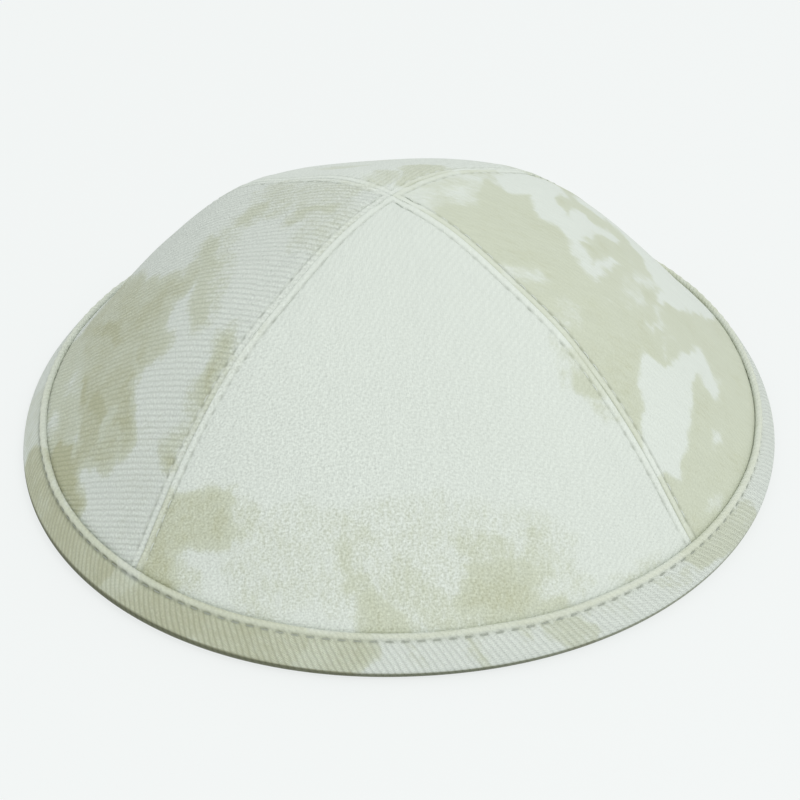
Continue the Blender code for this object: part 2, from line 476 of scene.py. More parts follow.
def cloudy(x, y, size, seed):
    """Soft noise from -1 to 1 on two coordinates.

    Random numbers stand at grid points that are size apart. Between them a place takes the numbers at its
    four corners, each weighted by soft steps.
    """
    table = np.random.default_rng(seed).uniform(-1, 1, (NOISE_GRID, NOISE_GRID))
    gx, gy = x / size, y / size
    ix, iy = np.floor(gx).astype(int), np.floor(gy).astype(int)
    wx, wy = s_curve(gx - ix), s_curve(gy - iy)
    left, right = ix % NOISE_GRID, (ix + 1) % NOISE_GRID
    low, high = iy % NOISE_GRID, (iy + 1) % NOISE_GRID
    lower = table[left, low] * (1 - wx) + table[right, low] * wx
    upper = table[left, high] * (1 - wx) + table[right, high] * wx
    return lower * (1 - wy) + upper * wy


sample = cloudy(np.linspace(0, 60, 601), np.zeros(601), 1.0, 0)
print("noise runs from", round(sample.min(), 2), "to", round(sample.max(), 2))

# %% [markdown]
# # The panels' grid
#
# A panel is a grid of points: rows run level round the crown and columns run from its point to its rim.
# Columns crowd beside the seams, where folds and stitches need them, and spread out in the middle. Near the
# point the columns squeeze together, because a quarter of a small circle holds only so many.

# %% Lay out the grid
PANEL_ROWS = 205
TUCK_ROWS = 7
TIP_RADIUS = 0.04 * MM
NEAR_SEAM = np.array([
    0.1, 0.17, 0.26, 0.37, 0.5, 0.66, 0.84, 1.04, 1.24, 1.4, 1.53, 1.65, 1.77, 1.9, 2.06, 2.3, 2.65, 3.1, 3.7,
    4.4, 5.1, 5.7, 6.0, 6.3, 6.9,
]) * MM
NEAR_SHARE = 0.5  # of half a panel that those columns may take near the point
MIDDLE_COLUMNS = 68


def panel_grid():
    """way, bearing and distance from the nearer seam, at each point of a panel's grid.

    A column near a seam keeps its distance from it: at a radius r its bearing from the seam is
    arcsin(distance / r), or a fixed share of the half panel where that is less. The other columns share out
    what is left to the middle evenly.
    """
    ways = np.concatenate([
        np.linspace(TIP_RADIUS / CROWN_FOOT[0], 1, PANEL_ROWS + 1),
        np.linspace(1, 1 + TUCK / CROWN_FOOT[0], TUCK_ROWS + 1)[1:],
    ])
    radius = CROWN_FOOT[0] * ways
    edge = np.arcsin(SEAM_GAP / 2 / radius)
    room = (HALF_PANEL - edge)[:, None]
    near = np.arcsin(np.minimum(NEAR_SEAM / radius[:, None], 1)) - edge[:, None]
    limit = NEAR_SHARE * np.arange(1, len(NEAR_SEAM) + 1) / len(NEAR_SEAM)
    near = np.minimum(near / room, limit)
    rest = near[:, -1:] + (1 - near[:, -1:]) * np.arange(1, MIDDLE_COLUMNS + 1) / MIDDLE_COLUMNS
    shares = np.concatenate([np.zeros_like(near[:, :1]), near, rest], axis=1)
    half = HALF_PANEL - edge[:, None] - room * shares
    bearing = np.concatenate([-half, half[:, -2::-1]], axis=1)
    way = np.repeat(ways[:, None], bearing.shape[1], axis=1)
    distance = radius[:, None] * np.sin(HALF_PANEL - np.abs(bearing))
    return way, bearing, distance


way, bearing, from_seam = panel_grid()
print("grid:", way.shape)

# %% [markdown]
# # The panel as flat cloth
#
# Weave and dye belong to the flat cloth that a panel is cut from, so each point needs its place there.
# Blender can unwrap a mesh by itself, but the pattern would then lean a little anywhere. Rolling the panel
# out row by row keeps its warp straight down the middle and its lengths true.

# %% Roll a panel out flat


def flat_cloth(points):
    """Where each point of a panel lies on the flat cloth that it was cut from, in metres.

    The distance from the tip is the length down the panel's middle, and the distance across is the length
    along the row. Both are kept true by rolling each row out as an arc about the tip: the angle of a point
    is its distance across over its distance from the tip. The warp runs along y.
    """
    middle = points.shape[1] // 2
    steps = np.linalg.norm(np.diff(points[:, middle], axis=0), axis=1)
    down = np.concatenate([[0], np.cumsum(steps)]) + TIP_RADIUS
    steps = np.linalg.norm(np.diff(points, axis=1), axis=2)
    across = np.concatenate([np.zeros((len(points), 1)), np.cumsum(steps, axis=1)], axis=1)
    across -= across[:, middle:middle + 1]
    angle = across / down[:, None]
    return np.stack([down[:, None] * np.sin(angle), down[:, None] * np.cos(angle)], axis=-1)


def hole_distance(along):
    """The distance along a row to the nearest needle hole."""
    return np.abs((along - FIRST_STITCH + STITCH_PITCH / 2) % STITCH_PITCH - STITCH_PITCH / 2)


plain_front = placed(way, bearing, 0.0)
panel_flat = flat_cloth(plain_front)
flat_x, flat_y = panel_flat[..., 0], panel_flat[..., 1]
seam_steps = np.linalg.norm(np.diff(plain_front[:, 0], axis=0), axis=1)
along_seam = np.repeat(np.concatenate([[0], np.cumsum(seam_steps)])[:, None], way.shape[1], axis=1)
from_hole = hole_distance(along_seam)
print("cut of a panel, mm:", np.round((np.ptp(flat_x) / MM, np.ptp(flat_y) / MM)).tolist())

# %% [markdown]
# # Relief of a panel
#
# On top of the plain crown comes what the sewing does to it: the fold at the seam, the raised strip, the dip
# along the stitches with its needle holes, and the slight unevenness of any soft cloth. A bump texture would
# look right from the front only. Here all of it is a height along the surface's normal, added up from a few
# bell curves.

# %% Work out the relief
FOLD_AT_POINT = 0.08  # share of a fold's depth at the crown's point
ROUNDING = 1e-12  # keeps a root real where rounding takes its number below 0
HOLES_MEAN, HOLES_VARY = 0.85, 0.3  # share of the full dent that a hole has, and how much it varies
STRIP_PUFF = 0.13 * MM  # how far the strip between seam and stitches stands up
STRIP_MIDDLE = 0.5 * STITCH_INSET
STRIP_START = 6 * MM  # from the crown's point, inside which the strip is flat
HELD_DOWN = 0.25  # share of the strip's height that it loses beside a needle hole
BESIDE_ROW = 2.3 * STITCH_INSET  # where the cloth gathers a little, beyond the row
BESIDE_REACH = 0.9 * STITCH_INSET
BESIDE_PUCKER = 0.05 * MM
BESIDE_RISE = 0.6  # how far that cloth stands up between two holes, against its dip at a hole
DOUBLING_RISE = 0.15 * MM
DOUBLING_EDGE = 1.0 * MM
UNEVEN_HEIGHT = 0.13 * MM
UNEVEN_SIZE = 17 * MM
FINER_UNEVEN = 0.4  # height of the lumps a third that size, against those
POINT_PUCKER = 0.35 * MM  # how uneven the cloth is where the four seams cross
POINT_REACH = 7 * MM
PUCKER_SIZE = 2.2 * MM
POINT_SMOOTH = 1.5 * MM  # inside which the crossing is smooth again
LIP_FILL = 0.5 * MM  # how far the cloth stands up where it goes under the lip
LIP_APPROACH = 3 * MM  # over which the relief fades before the lip
IN_CHANNEL = 0.8 * PIECE_GAP  # how far the tucked cloth stands up in the binding's channel


def stitch_pull(seed):
    """How far each point is pulled down by its row of stitches, and by the needle holes, from 0 to 1."""
    row = bump(from_seam - STITCH_INSET, ROW_WIDTH)
    vary = cloudy(along_seam, bearing * 0, 0.8 * STITCH_PITCH, seed + 3)
    return row, row * bump(from_hole, HOLE_LENGTH) * (HOLES_MEAN + HOLES_VARY * vary)


def panel_relief(seed):
    """Heights over the plain crown.

    The fold is a quarter circle down into the seam, deeper towards the rim. The strip and the cloth beyond
    the row are bell curves across the seam, and both give way at each needle hole. Before the lip all that
    stands up fades out, and the cloth rises to meet the lip.
    """
    row, dents = stitch_pull(seed)
    turned = np.clip(FOLD_RADIUS + SEAM_GAP / 2 - from_seam, 0, FOLD_RADIUS)
    fold = np.sqrt(FOLD_RADIUS**2 - turned**2 + ROUNDING) - FOLD_RADIUS
    fold *= np.clip(FOLD_AT_POINT + way, 0, 1)
    strip = STRIP_PUFF * bump(from_seam - STRIP_MIDDLE, STRIP_MIDDLE)
    strip *= (1 - HELD_DOWN * bump(from_hole, HOLE_LENGTH)) * (1 - bump(along_seam, STRIP_START))
    beside = bump(from_seam - BESIDE_ROW, BESIDE_REACH) * (BESIDE_RISE - bump(from_hole, STITCH_PITCH / 4))
    doubled = s_curve(np.clip((SEAM_ALLOWANCE + DOUBLING_EDGE - from_seam) / DOUBLING_EDGE, 0, 1))
    uneven = cloudy(flat_x, flat_y, UNEVEN_SIZE, seed)
    uneven += FINER_UNEVEN * cloudy(flat_x, flat_y, UNEVEN_SIZE / 3, seed + 1)
    to_point = np.hypot(flat_x, flat_y)
    crossing = bump(to_point, POINT_REACH) * cloudy(flat_x, flat_y, PUCKER_SIZE, seed + 2)
    crossing *= 1 - bump(to_point, POINT_SMOOTH)
    height = fold + strip - ROW_DIP * row - HOLE_DIP * dents + BESIDE_PUCKER * beside
    height += DOUBLING_RISE * doubled + UNEVEN_HEIGHT * uneven + POINT_PUCKER * crossing
    fade = s_curve(np.clip((1.0 - way) * CROWN_FOOT[0] / LIP_APPROACH, 0, 1))
    tucked = np.clip((way - 1) * CROWN_FOOT[0] / MM, 0, 1)
    meets_lip = LIP_FILL * (1 - fade) * (1 - tucked) + IN_CHANNEL * tucked
    return np.minimum(height, 0) + np.maximum(height, 0) * fade + meets_lip


relief = panel_relief(seed=1)
print("relief, mm: from", round(relief.min() / MM, 2), "to", round(relief.max() / MM, 2))

# %% [markdown]
# # Shade in the sewing
#
# A needle hole or the groove of a seam is darker than its small depth explains, because little light gets in.
# Rays of light alone would need a much finer mesh to show that. So each point also gets a number for how
# deep it sits in a fold or a hole, and the material tints it down by that as painted shade.

# %% Work out the shade
SEAM_SHADE, SEAM_SHADE_LOW = 0.02, 0.12  # in a seam's groove at the point, and how much more at the rim
SEAM_SHADE_WIDTH = 0.30 * MM
HOLE_SHADE = 0.47
ROW_SHADE = 0.03  # how dark the dip between two needle holes is
SHADED_ROW = 0.27  # and where the strip beside it hides it from the lamp
SHADE_AT_POINT = 0.4  # share of a row's shade at the crown's point
SHADE_FULL_WAY = 0.8  # the way down over which one whole share is added


def sewing_shade(seed, row_shade=ROW_SHADE):
    """How much painted shade each point takes, from 0 to 1, for sitting deep in a fold or a hole: bell curves
    about the seam and the row.
    """
    row, dents = stitch_pull(seed)
    groove = (SEAM_SHADE + SEAM_SHADE_LOW * way**2) * bump(from_seam, SEAM_SHADE_WIDTH)
    by_point = np.clip(SHADE_AT_POINT + way / SHADE_FULL_WAY, 0, 1)
    stitches = (HOLE_SHADE - row_shade) * dents + row_shade * row
    return np.clip(groove + stitches * by_point, 0, 1) * (way <= 1)


print("darkest point of the sewing:", round(sewing_shade(seed=1).max(), 2))

# %% [markdown]
# # The dye of the front panel
#
# The cloth is tie-dyed in pale sage: the dye ran through the tied cloth in blots with soft, ragged edges.
# Painting an image of it would be one way, but an image has a fixed sharpness and fits one cap only. Here
# each blot is written as a few strokes of a round brush on the flat cloth, read from the photograph, in
# millimetres from the panel's middle line and from its tip. The strokes say where the dye went, and a
# negative depth is a place that stayed white. The front panel is nearly all white above its rim.

# %% Chart the front panel's dye
Stroke = namedtuple("Stroke", "from_x from_y to_x to_y half_width depth")
FRONT_STROKES = (
    Stroke(-53, 64, -39.5, 66.5, 4.0, 1.45),
    Stroke(-52, 70.5, -40, 71, 4.8, 1.55),
    Stroke(-36, 69, -32, 70, 4.0, 0.55),
    Stroke(-37, 72, -34, 73, 3.0, 0.6),
    Stroke(-54, 71, -54, 82, 5.0, 1.75),
    Stroke(-48, 78, -46, 84, 2.5, 0.7),
    Stroke(-37, 80, -32, 90, 3.4, 0.45),
    Stroke(-14, 73, -10, 81, 3.4, 0.55),
    Stroke(-15, 80, -12, 88, 3.4, 0.8),
    Stroke(-9, 92, -6, 97, 3.8, 1.4),
    Stroke(-3, 88, 5, 95, 4.6, 0.75),
    Stroke(11, 92, 20, 92, 4.8, 1.45),
    Stroke(13, 87, 21, 86, 4.2, 1.3),
    Stroke(10, 80, 17, 81, 3.4, 0.8),
    Stroke(23, 77, 25, 86, 2.4, 0.75),
    Stroke(23, 94.5, 28, 93.5, 2.2, 1.1),
    Stroke(28, 82, 33, 88, 3.0, 0.5),
    Stroke(40, 87.5, 50, 82.5, 1.8, 0.6),
    Stroke(34, 37, 37, 43, 2.6, 1.25),
    Stroke(30, 35, 31, 44, 2.0, 0.5),
    Stroke(37, 46, 40, 49, 1.8, 0.55),
    Stroke(-27, 28, -40, 46, 1.6, 0.35),
    Stroke(8, 7, 14, 13, 1.4, 0.3),
    Stroke(-28, 80, 22, 84, 12.0, 0.38),
    Stroke(20, 80, 21, 85, 1.2, -0.5),
)
print("front panel:", len(FRONT_STROKES), "strokes")

# %% [markdown]
# # The dye of the right panel
#
# On the right panel the dye covers nearly everything, so it is shorter to chart the places that stayed
# white. The panel starts full of dye, and these strokes hold it back.

# %% Chart the right panel's dye
RIGHT_STROKES = (
    Stroke(-42, 62, -31, 60, 6.0, -1.0),
    Stroke(-38, 67, -28, 66, 4.5, -1.0),
    Stroke(-46, 63, -45, 66, 3.6, -0.9),
    Stroke(-26, 66, -11, 80, 3.0, -0.95),
    Stroke(-19, 80, -13, 83, 2.4, -0.85),
    Stroke(-33, 80, -33, 80.5, 2.0, -0.8),
    Stroke(-49, 80, -46, 83, 2.2, -0.5),
    Stroke(-8, 44, -1, 44, 2.6, -0.8),
    Stroke(-8, 47, 2, 52.5, 1.8, -0.9),
    Stroke(16, 25, 20, 33, 4.4, -1.0),
    Stroke(18, 34, 7, 38, 4.0, -1.0),
    Stroke(4, 42, 14, 46, 3.8, -0.95),
    Stroke(12, 48, 15, 54, 2.6, -0.8),
    Stroke(23, 26, 27, 38, 4.5, -0.9),
    Stroke(-16, 60, -3, 68, 1.2, -0.6),
    Stroke(-20, 63, -12, 67, 0.9, -0.5),
    Stroke(-8, 57, -3, 60, 1.2, -0.45),
    Stroke(-12, 54, 8, 62, 3.0, -0.3),
    Stroke(2, 61, 8, 66, 1.8, -0.6),
    Stroke(3, 69, 10, 77, 3.0, -1.0),
    Stroke(13, 72, 24, 88, 6.5, -1.0),
    Stroke(24, 66, 30, 85, 7.0, -0.9),
    Stroke(29, 50, 29, 64, 5.5, -0.9),
    Stroke(0, 4, 6, 13, 7.5, -0.45),
    Stroke(-4, 4, 0, 6, 3.0, -0.5),
    Stroke(12, 15, 18, 21, 3.0, -0.5),
    Stroke(2, 12, 4, 16, 1.8, -0.5),
    Stroke(-21, 22, -18, 28, 2.0, -0.55),
    Stroke(-29, 30, -25, 34, 2.6, -0.35),
    Stroke(44, 62, 40, 70, 5.0, -0.9),
    Stroke(50, 80, 44, 86, 3.5, -0.8),
)
print("right panel:", len(RIGHT_STROKES), "strokes")

# %% [markdown]
# # The dye of the left and back panels
#
# The left panel has the deepest blots, down to olive. The back panel hardly shows in the photograph, so away
# from the crown's point it takes the left panel's blots in mirror image, as a second fold of the same tied
# cloth would.

# %% Chart the left and back panels' dye
LEFT_STROKES = (
    Stroke(-9, 16, 9, 13, 6.0, 0.5),
    Stroke(-6, 8, -4, 18, 5.5, 0.55),
    Stroke(6, 10, 8, 17, 4.0, 0.45),
    Stroke(2, 13, -2, 21, 1.9, 1.2),
    Stroke(0, 22, 0, 24, 1.2, 1.2),
    Stroke(-18, 22, -8, 25, 4.5, 0.55),
    Stroke(-11, 30, -9, 33, 3.0, 1.0),
    Stroke(-18, 27, -13, 29, 2.2, 0.5),
    Stroke(-8, 38, 16, 40, 3.4, 0.5),
    Stroke(-6, 43, 18, 44, 3.4, 1.0),
    Stroke(-4, 45, 2, 42, 2.6, 1.25),
    Stroke(1, 49, 3, 54, 3.8, 1.45),
    Stroke(-1, 58, -24, 76, 4.8, 1.45),
    Stroke(2, 56, 16, 58.5, 3.6, 1.4),
    Stroke(0, 60, 12, 62, 5.6, 1.5),
    Stroke(17, 56, 17, 62, 3.0, 1.4),
    Stroke(-18, 70, 4, 66, 7.0, 1.5),
    Stroke(-32, 80, -6, 74, 6.5, 1.4),
    Stroke(1, 71, -16, 82, 3.8, 1.85),
    Stroke(4, 72, 24, 71, 6.4, 1.5),
    Stroke(18, 67, 34, 68.5, 3.0, 1.65),
    Stroke(32, 72, 30, 78, 4.0, 1.5),
    Stroke(-22, 84, 4, 80, 6.5, 1.45),
    Stroke(6, 80, 26, 80, 5.5, 1.6),
    Stroke(14, 79, 23, 77, 3.2, 2.2),
    Stroke(4, 84, 12, 83, 2.8, 2.0),
    Stroke(25, 80, 27, 90, 4.0, 1.8),
    Stroke(20, 93, 36, 90, 3.2, 2.25),
    Stroke(-20, 93, 2, 94, 5.0, 1.0),
    Stroke(6, 90, 16, 93, 4.0, 1.3),
    Stroke(-24, 87, 16, 88, 3.4, 1.05),
    Stroke(-36, 84, -30, 82, 4.0, 0.6),
    Stroke(27, 37, 33, 38, 3.2, 1.4),
    Stroke(31, 39, 36, 44, 2.8, 1.75),
    Stroke(37, 46, 43, 54, 2.4, 0.85),
    Stroke(44, 56, 44, 58, 2.4, 1.6),
    Stroke(38, 62, 48, 74, 7.0, 0.2),
    Stroke(24, 74, 24, 74.5, 1.6, -0.6),
    Stroke(-2, 90, 6, 88, 2.4, -0.35),
)
MIRRORED_BELOW = 42  # mm from the tip
MIRRORED_DEPTH = 0.85
BACK_STROKES = (
    Stroke(-5, 5, -8, 15, 4.5, 0.9),
    Stroke(3, 7, 1, 13, 3.5, 0.7),
    Stroke(8, 26, 12, 30, 3.0, 0.6),
    Stroke(-30, 36, -24, 40, 4.0, 0.6),
    *(stroke._replace(from_x=-stroke.from_x, to_x=-stroke.to_x, depth=MIRRORED_DEPTH * stroke.depth)
      for stroke in LEFT_STROKES if stroke.from_y > MIRRORED_BELOW),
)
print("left panel:", len(LEFT_STROKES), "strokes, back panel:", len(BACK_STROKES))

# %% [markdown]
# # How the dye soaked in
#
# A stroke by itself would be a smooth lozenge. Real dye creeps along the fibres and stops at the ties, so
# noise shifts each point before its distance to the strokes is taken. Finer noise follows in the material.
# The result is one number on each point: 0 is white, 1 is sage and 2 is deep olive.

# %% Soak the panels
DyedPanel = namedtuple("DyedPanel", "side quarter_turns base edge strokes")  # edge in mm
PANELS = (
    DyedPanel("front", 0, 0.08, 5.5, FRONT_STROKES),
    DyedPanel("right", 1, 1.13, 3.4, RIGHT_STROKES),
    DyedPanel("back", 2, 0.06, 4.0, BACK_STROKES),
    DyedPanel("left", 3, 0.08, 6.0, LEFT_STROKES),
)
RAGGED = 1.9 * MM
RAGGED_SIZE = 5.5 * MM
FINER_RAGGED = 0.45  # strength of the noise a third that size, against it
MOTTLED = 0.16
MOTTLE_SIZE = 7 * MM


def ragged(x, y, seed):
    """The shift that makes a stroke's edge ragged, in metres: coarse noise and some three times as fine."""
    finer = FINER_RAGGED * cloudy(x, y, RAGGED_SIZE / 3, seed + 1)
    return RAGGED * (cloudy(x, y, RAGGED_SIZE, seed) + finer)


def soaked(x, y, base, edge, strokes, seed):
    """How much dye each point of the flat cloth took.

    A point's distance to a stroke is that to the nearest point of its line. The stroke is full inside its
    half width and fades over the edge. Dye takes the deepest stroke, and a white stroke, whose depth is
    negative, holds back its share.
    """
    x = x + ragged(x, y, seed)
    y = y + ragged(x, y, seed + 2)
    level = np.full(x.shape, base)
    kept_out = np.ones(x.shape)
    for stroke in strokes:
        start = np.array([stroke.from_x, stroke.from_y]) * MM
        line = np.array([stroke.to_x, stroke.to_y]) * MM - start
        share = np.clip(((x - start[0]) * line[0] + (y - start[1]) * line[1]) / (line @ line), 0, 1)
        distance = np.hypot(x - start[0] - share * line[0], y - start[1] - share * line[1])
        fade = s_curve(np.clip(0.5 + (stroke.half_width * MM - distance) / (edge * MM), 0, 1))
        if stroke.depth > 0:
            level = np.maximum(level, stroke.depth * fade)
        else:
            kept_out *= 1 + stroke.depth * fade
    return level * kept_out * (1 + MOTTLED * cloudy(x, y, MOTTLE_SIZE, seed + 4))


def panel_dye(panel):
    """The dye on each point of a panel, with noise of the panel's own."""
    return soaked(flat_x, flat_y, panel.base, panel.edge, panel.strokes, 20 + 10 * panel.quarter_turns)


for panel in PANELS:
    print(panel.side, "panel: share of dyed cloth", round(float((panel_dye(panel) > 0.5).mean()), 2))

# %% [markdown]
# # The weave
#
# The cloth is a twill of denim weight. Each warp yarn floats over three weft yarns and dips under the
# fourth, and each neighbour does so one weft yarn later, so the dips line up in slanting grooves. With yarns
# 0.34 mm apart across and 0.62 mm apart down, the grooves lean 29 degrees off the warp and come every
# 1.2 mm. Modelled yarn by yarn that would be millions of faces, so a node group works it out from the place
# on the flat cloth: which yarn it is, how far round that yarn, and how far along its float. The panels use
# it, and so does the bias tape, whose flat cloth is turned.

# %% Build the weave group
WARP_PITCH = 0.343 * MM
WEFT_PITCH = 0.619 * MM
FLOAT_OVER = 4  # weft yarns in one repeat
STEPPED = 0.5  # how far the grooves are cut up into the steps of single yarns
YARN_WOBBLE = 0.5 * MM
WOBBLE_SIZE = 4 * MM
GROOVE_START, GROOVE_END = 0.02, 0.33  # shares of a half repeat between which a float rises to its top
YARN_ROUNDNESS = 0.4
WEFT_RISE = 0.35  # height of the weft yarn that shows in a groove
GRAIN_SIZE = 0.50 * MM
SLUB_LENGTH = 9 * MM  # of the paler and darker stretches along a yarn


def yarn_height(tree, yarn):
    """Height over a yarn's edge, 0 to 1: the parabola 1 - (2 f - 1)^2 of the fraction f across the yarn."""
    off_middle = calc(tree, "SUBTRACT", calc(tree, "MULTIPLY", calc(tree, "FRACT", yarn), 2), 1)
    return calc(tree, "SUBTRACT", 1, calc(tree, "MULTIPLY", off_middle, off_middle))


def wobbled(tree, cloth):
    """The place on the flat cloth as x and y, shifted by soft noise because no yarn is quite straight."""
    noise = node(tree, "ShaderNodeTexNoise", noise_dimensions="3D")
    tree.links.new(cloth, noise.inputs["Vector"])
    noise.inputs["Scale"].default_value = 1 / WOBBLE_SIZE
    noise.inputs["Detail"].default_value = 1.5
    shift = node(tree, "ShaderNodeVectorMath", operation="MULTIPLY_ADD")
    tree.links.new(noise.outputs["Color"], shift.inputs[0])
    shift.inputs[1].default_value = (YARN_WOBBLE, YARN_WOBBLE, 0)
    tree.links.new(cloth, shift.inputs[2])
    place = node(tree, "ShaderNodeSeparateXYZ")
    tree.links.new(shift.outputs[0], place.inputs[0])
    return place.outputs["X"], place.outputs["Y"]


def build_weave():
    """The twill's height and tone, from a place on the flat cloth in metres.

    yarn = x / warp pitch numbers the warp yarns. (y / weft pitch + yarn number) / 4 counts a yarn's floats,
    and its height falls where that is near a whole number. There the weft shows, as a lower yarn that
    crosses. The tone carries painted shade: 1 for plain cloth and less in a groove, where the grain makes it
    patchy.
    """
    tree, given, result = new_group(
        "twill_weave",
        [("Cloth", "Vector", None), ("Warp Pitch", "Float", WARP_PITCH), ("Weft Pitch", "Float", WEFT_PITCH),
         ("Groove Tone", "Float", 0.08), ("Rubbed", "Float", 0.0), ("Fuzz", "Float", 0.0)],
        [("Height", "Float"), ("Tone", "Float")],
    )
    x, y = wobbled(tree, given["Cloth"])
    yarn = calc(tree, "DIVIDE", x, given["Warp Pitch"])
    number = calc(tree, "FLOOR", yarn)
    weft = calc(tree, "DIVIDE", y, given["Weft Pitch"])
    whole, even = calc(tree, "MULTIPLY", number, STEPPED), calc(tree, "MULTIPLY", yarn, 1 - STEPPED)
    count = calc(tree, "DIVIDE", calc(tree, "ADD", weft, calc(tree, "ADD", whole, even)), FLOAT_OVER)
    from_dip = calc(tree, "PINGPONG", calc(tree, "SUBTRACT", count, 0.5 / FLOAT_OVER), 0.5)
    over = remap(tree, from_dip, GROOVE_START, GROOVE_END)
    under = calc(tree, "SUBTRACT", 1, over)
    worn = calc(tree, "SUBTRACT", 1, given["Rubbed"])
    rounded = calc(tree, "MULTIPLY_ADD", yarn_height(tree, yarn), YARN_ROUNDNESS, 1 - YARN_ROUNDNESS)
    crossing = calc(tree, "MULTIPLY", yarn_height(tree, weft), under)
    height = calc(tree, "MULTIPLY_ADD", crossing, WEFT_RISE, calc(tree, "MULTIPLY", rounded, over))
    grain = cloud(tree, given["Cloth"], GRAIN_SIZE, detail=1.5, roughness=0.6)
    rough = calc(tree, "MULTIPLY", calc(tree, "MULTIPLY", grain, given["Fuzz"]), 1.1)
    feed(tree, result["Height"], calc(tree, "MULTIPLY_ADD", height, worn, rough))
    along = node(tree, "ShaderNodeCombineXYZ")
    feed(tree, along.inputs["X"], calc(tree, "MULTIPLY", number, 0.73))
    feed(tree, along.inputs["Y"], calc(tree, "DIVIDE", y, SLUB_LENGTH))
    slub = cloud(tree, along.outputs[0], 1.0, detail=1.0)
    # painted shade in the twill's grooves, made patchy by the grain; the whole tone is then lifted a little
    # so that its mean stays near 1
    patchy = calc(tree, "MULTIPLY", calc(tree, "MULTIPLY_ADD", grain, 2.8, -0.4), under)
    shade = calc(tree, "MULTIPLY", calc(tree, "MULTIPLY", patchy, given["Groove Tone"]), worn)
    mean = calc(tree, "MULTIPLY_ADD", given["Groove Tone"], 0.35, 0.95)
    tone = calc(tree, "MULTIPLY_ADD", slub, 0.10, calc(tree, "SUBTRACT", mean, shade))
    spread = calc(tree, "MULTIPLY_ADD", given["Fuzz"], 0.68, 0.03)
    feed(tree, result["Tone"], calc(tree, "MULTIPLY_ADD", calc(tree, "SUBTRACT", grain, 0.5), spread, tone))
    return tree


twill_weave = build_weave()
groove_lean = math.atan(WARP_PITCH / WEFT_PITCH)
groove_pitch = FLOAT_OVER * WARP_PITCH * math.cos(groove_lean)
print("the grooves lean", round(math.degrees(groove_lean)), "degrees off the warp")
print("and come every", round(groove_pitch / MM, 2), "mm")

# %% [markdown]
# # The dyed cloth's colour
#
# The amount of dye is stored on each point of the mesh, about half a millimetre apart. The group sharpens
# that with fine noise, because dye creeps along the yarns, and turns it into a colour: undyed, sage or deep
# olive. Places deep in a fold or a needle hole get less light than the renderer's rays alone would give
# them, so the group tints them down with painted shade.

# %% Build the dye group
FIBRE_LEAN_DEG = 29  # of the streaks that dye makes along the twill
FIBRE_SQUEEZE = 0.45  # of the noise along them, which stretches its lumps
FIBRE_SIZE = 1.3 * MM
BLOT_SIZE = 5 * MM
WHITE, SAGE, OLIVE = 0.05, 1.0, 2.2  # the levels of dye at which each colour is full


def build_dye():
    """The colour of dyed cloth from its dye, its weave's tone and its painted shade.

    Where there is dye, noise about 0 and the darkness of the weave's tone, mostly painted shade in its
    grooves, are added to its level, so a shaded groove turns more olive. The level then picks the colour by
    two soft steps, from undyed to sage and from sage to olive. Last, painted shade tints a deep fold or hole
    down.
    """
    # Hollow is a point's painted shade, for sitting deep in a fold, a needle hole or a groove, and Hollow
    # Tint the colour it darkens towards.
    tree, given, result = new_group(
        "tie_dye",
        [("Cloth", "Vector", None), ("Dye", "Float", 0.0), ("Tone", "Float", 1.0), ("Hollow", "Float", 0.0),
         ("Rubbed", "Float", 0.0), ("Rubbed Tint", "Color", (1, 1, 1, 1)),
         ("Undyed", "Color", (0.7, 0.75, 0.7, 1)), ("Dyed", "Color", (0.6, 0.65, 0.55, 1)),
         ("Deep", "Color", (0.4, 0.42, 0.3, 1)), ("Hollow Tint", "Color", (0.4, 0.4, 0.3, 1))],
        [("Color", "Color")],
    )
    stretch = node(tree, "ShaderNodeMapping", vector_type="POINT")
    tree.links.new(given["Cloth"], stretch.inputs["Vector"])
    stretch.inputs["Rotation"].default_value = (0, 0, math.radians(FIBRE_LEAN_DEG))
    stretch.inputs["Scale"].default_value = (1, FIBRE_SQUEEZE, 1)
    fibres = cloud(tree, stretch.outputs[0], FIBRE_SIZE, detail=3.0, roughness=0.65)
    blots = cloud(tree, given["Cloth"], BLOT_SIZE, detail=2.0)
    noise = calc(tree, "ADD", calc(tree, "MULTIPLY_ADD", fibres, 0.9, -0.45),
                 calc(tree, "MULTIPLY_ADD", blots, 0.4, -0.2))
    where_dyed = calc(tree, "MINIMUM", calc(tree, "MULTIPLY", given["Dye"], 3.0), 1.0)
    # the painted shade of the grooves also raises the dye level, so a shaded groove turns more olive
    groove_shade_level = calc(tree, "MULTIPLY", calc(tree, "SUBTRACT", 1, given["Tone"]), 1.3)
    level = calc(tree, "MULTIPLY_ADD", calc(tree, "ADD", noise, groove_shade_level), where_dyed, given["Dye"])
    sage = blend_colour(tree, remap(tree, level, WHITE, SAGE), given["Undyed"], given["Dyed"])
    olive = blend_colour(tree, remap(tree, level, SAGE, OLIVE), sage, given["Deep"])
    bared = blend_colour(tree, calc(tree, "MULTIPLY", given["Rubbed"], 0.9), olive, given["Rubbed Tint"])
    toned = blend_colour(tree, 1.0, bared, given["Tone"], blend="MULTIPLY")
    # painted shade: a point deep in a fold, a hole or a groove is tinted down
    tint = blend_colour(tree, given["Hollow"], (1, 1, 1, 1), given["Hollow Tint"])
    feed(tree, result["Color"], blend_colour(tree, 1.0, toned, tint, blend="MULTIPLY"))
    return tree


tie_dye = build_dye()
print("dye group:", len(tie_dye.nodes), "nodes")
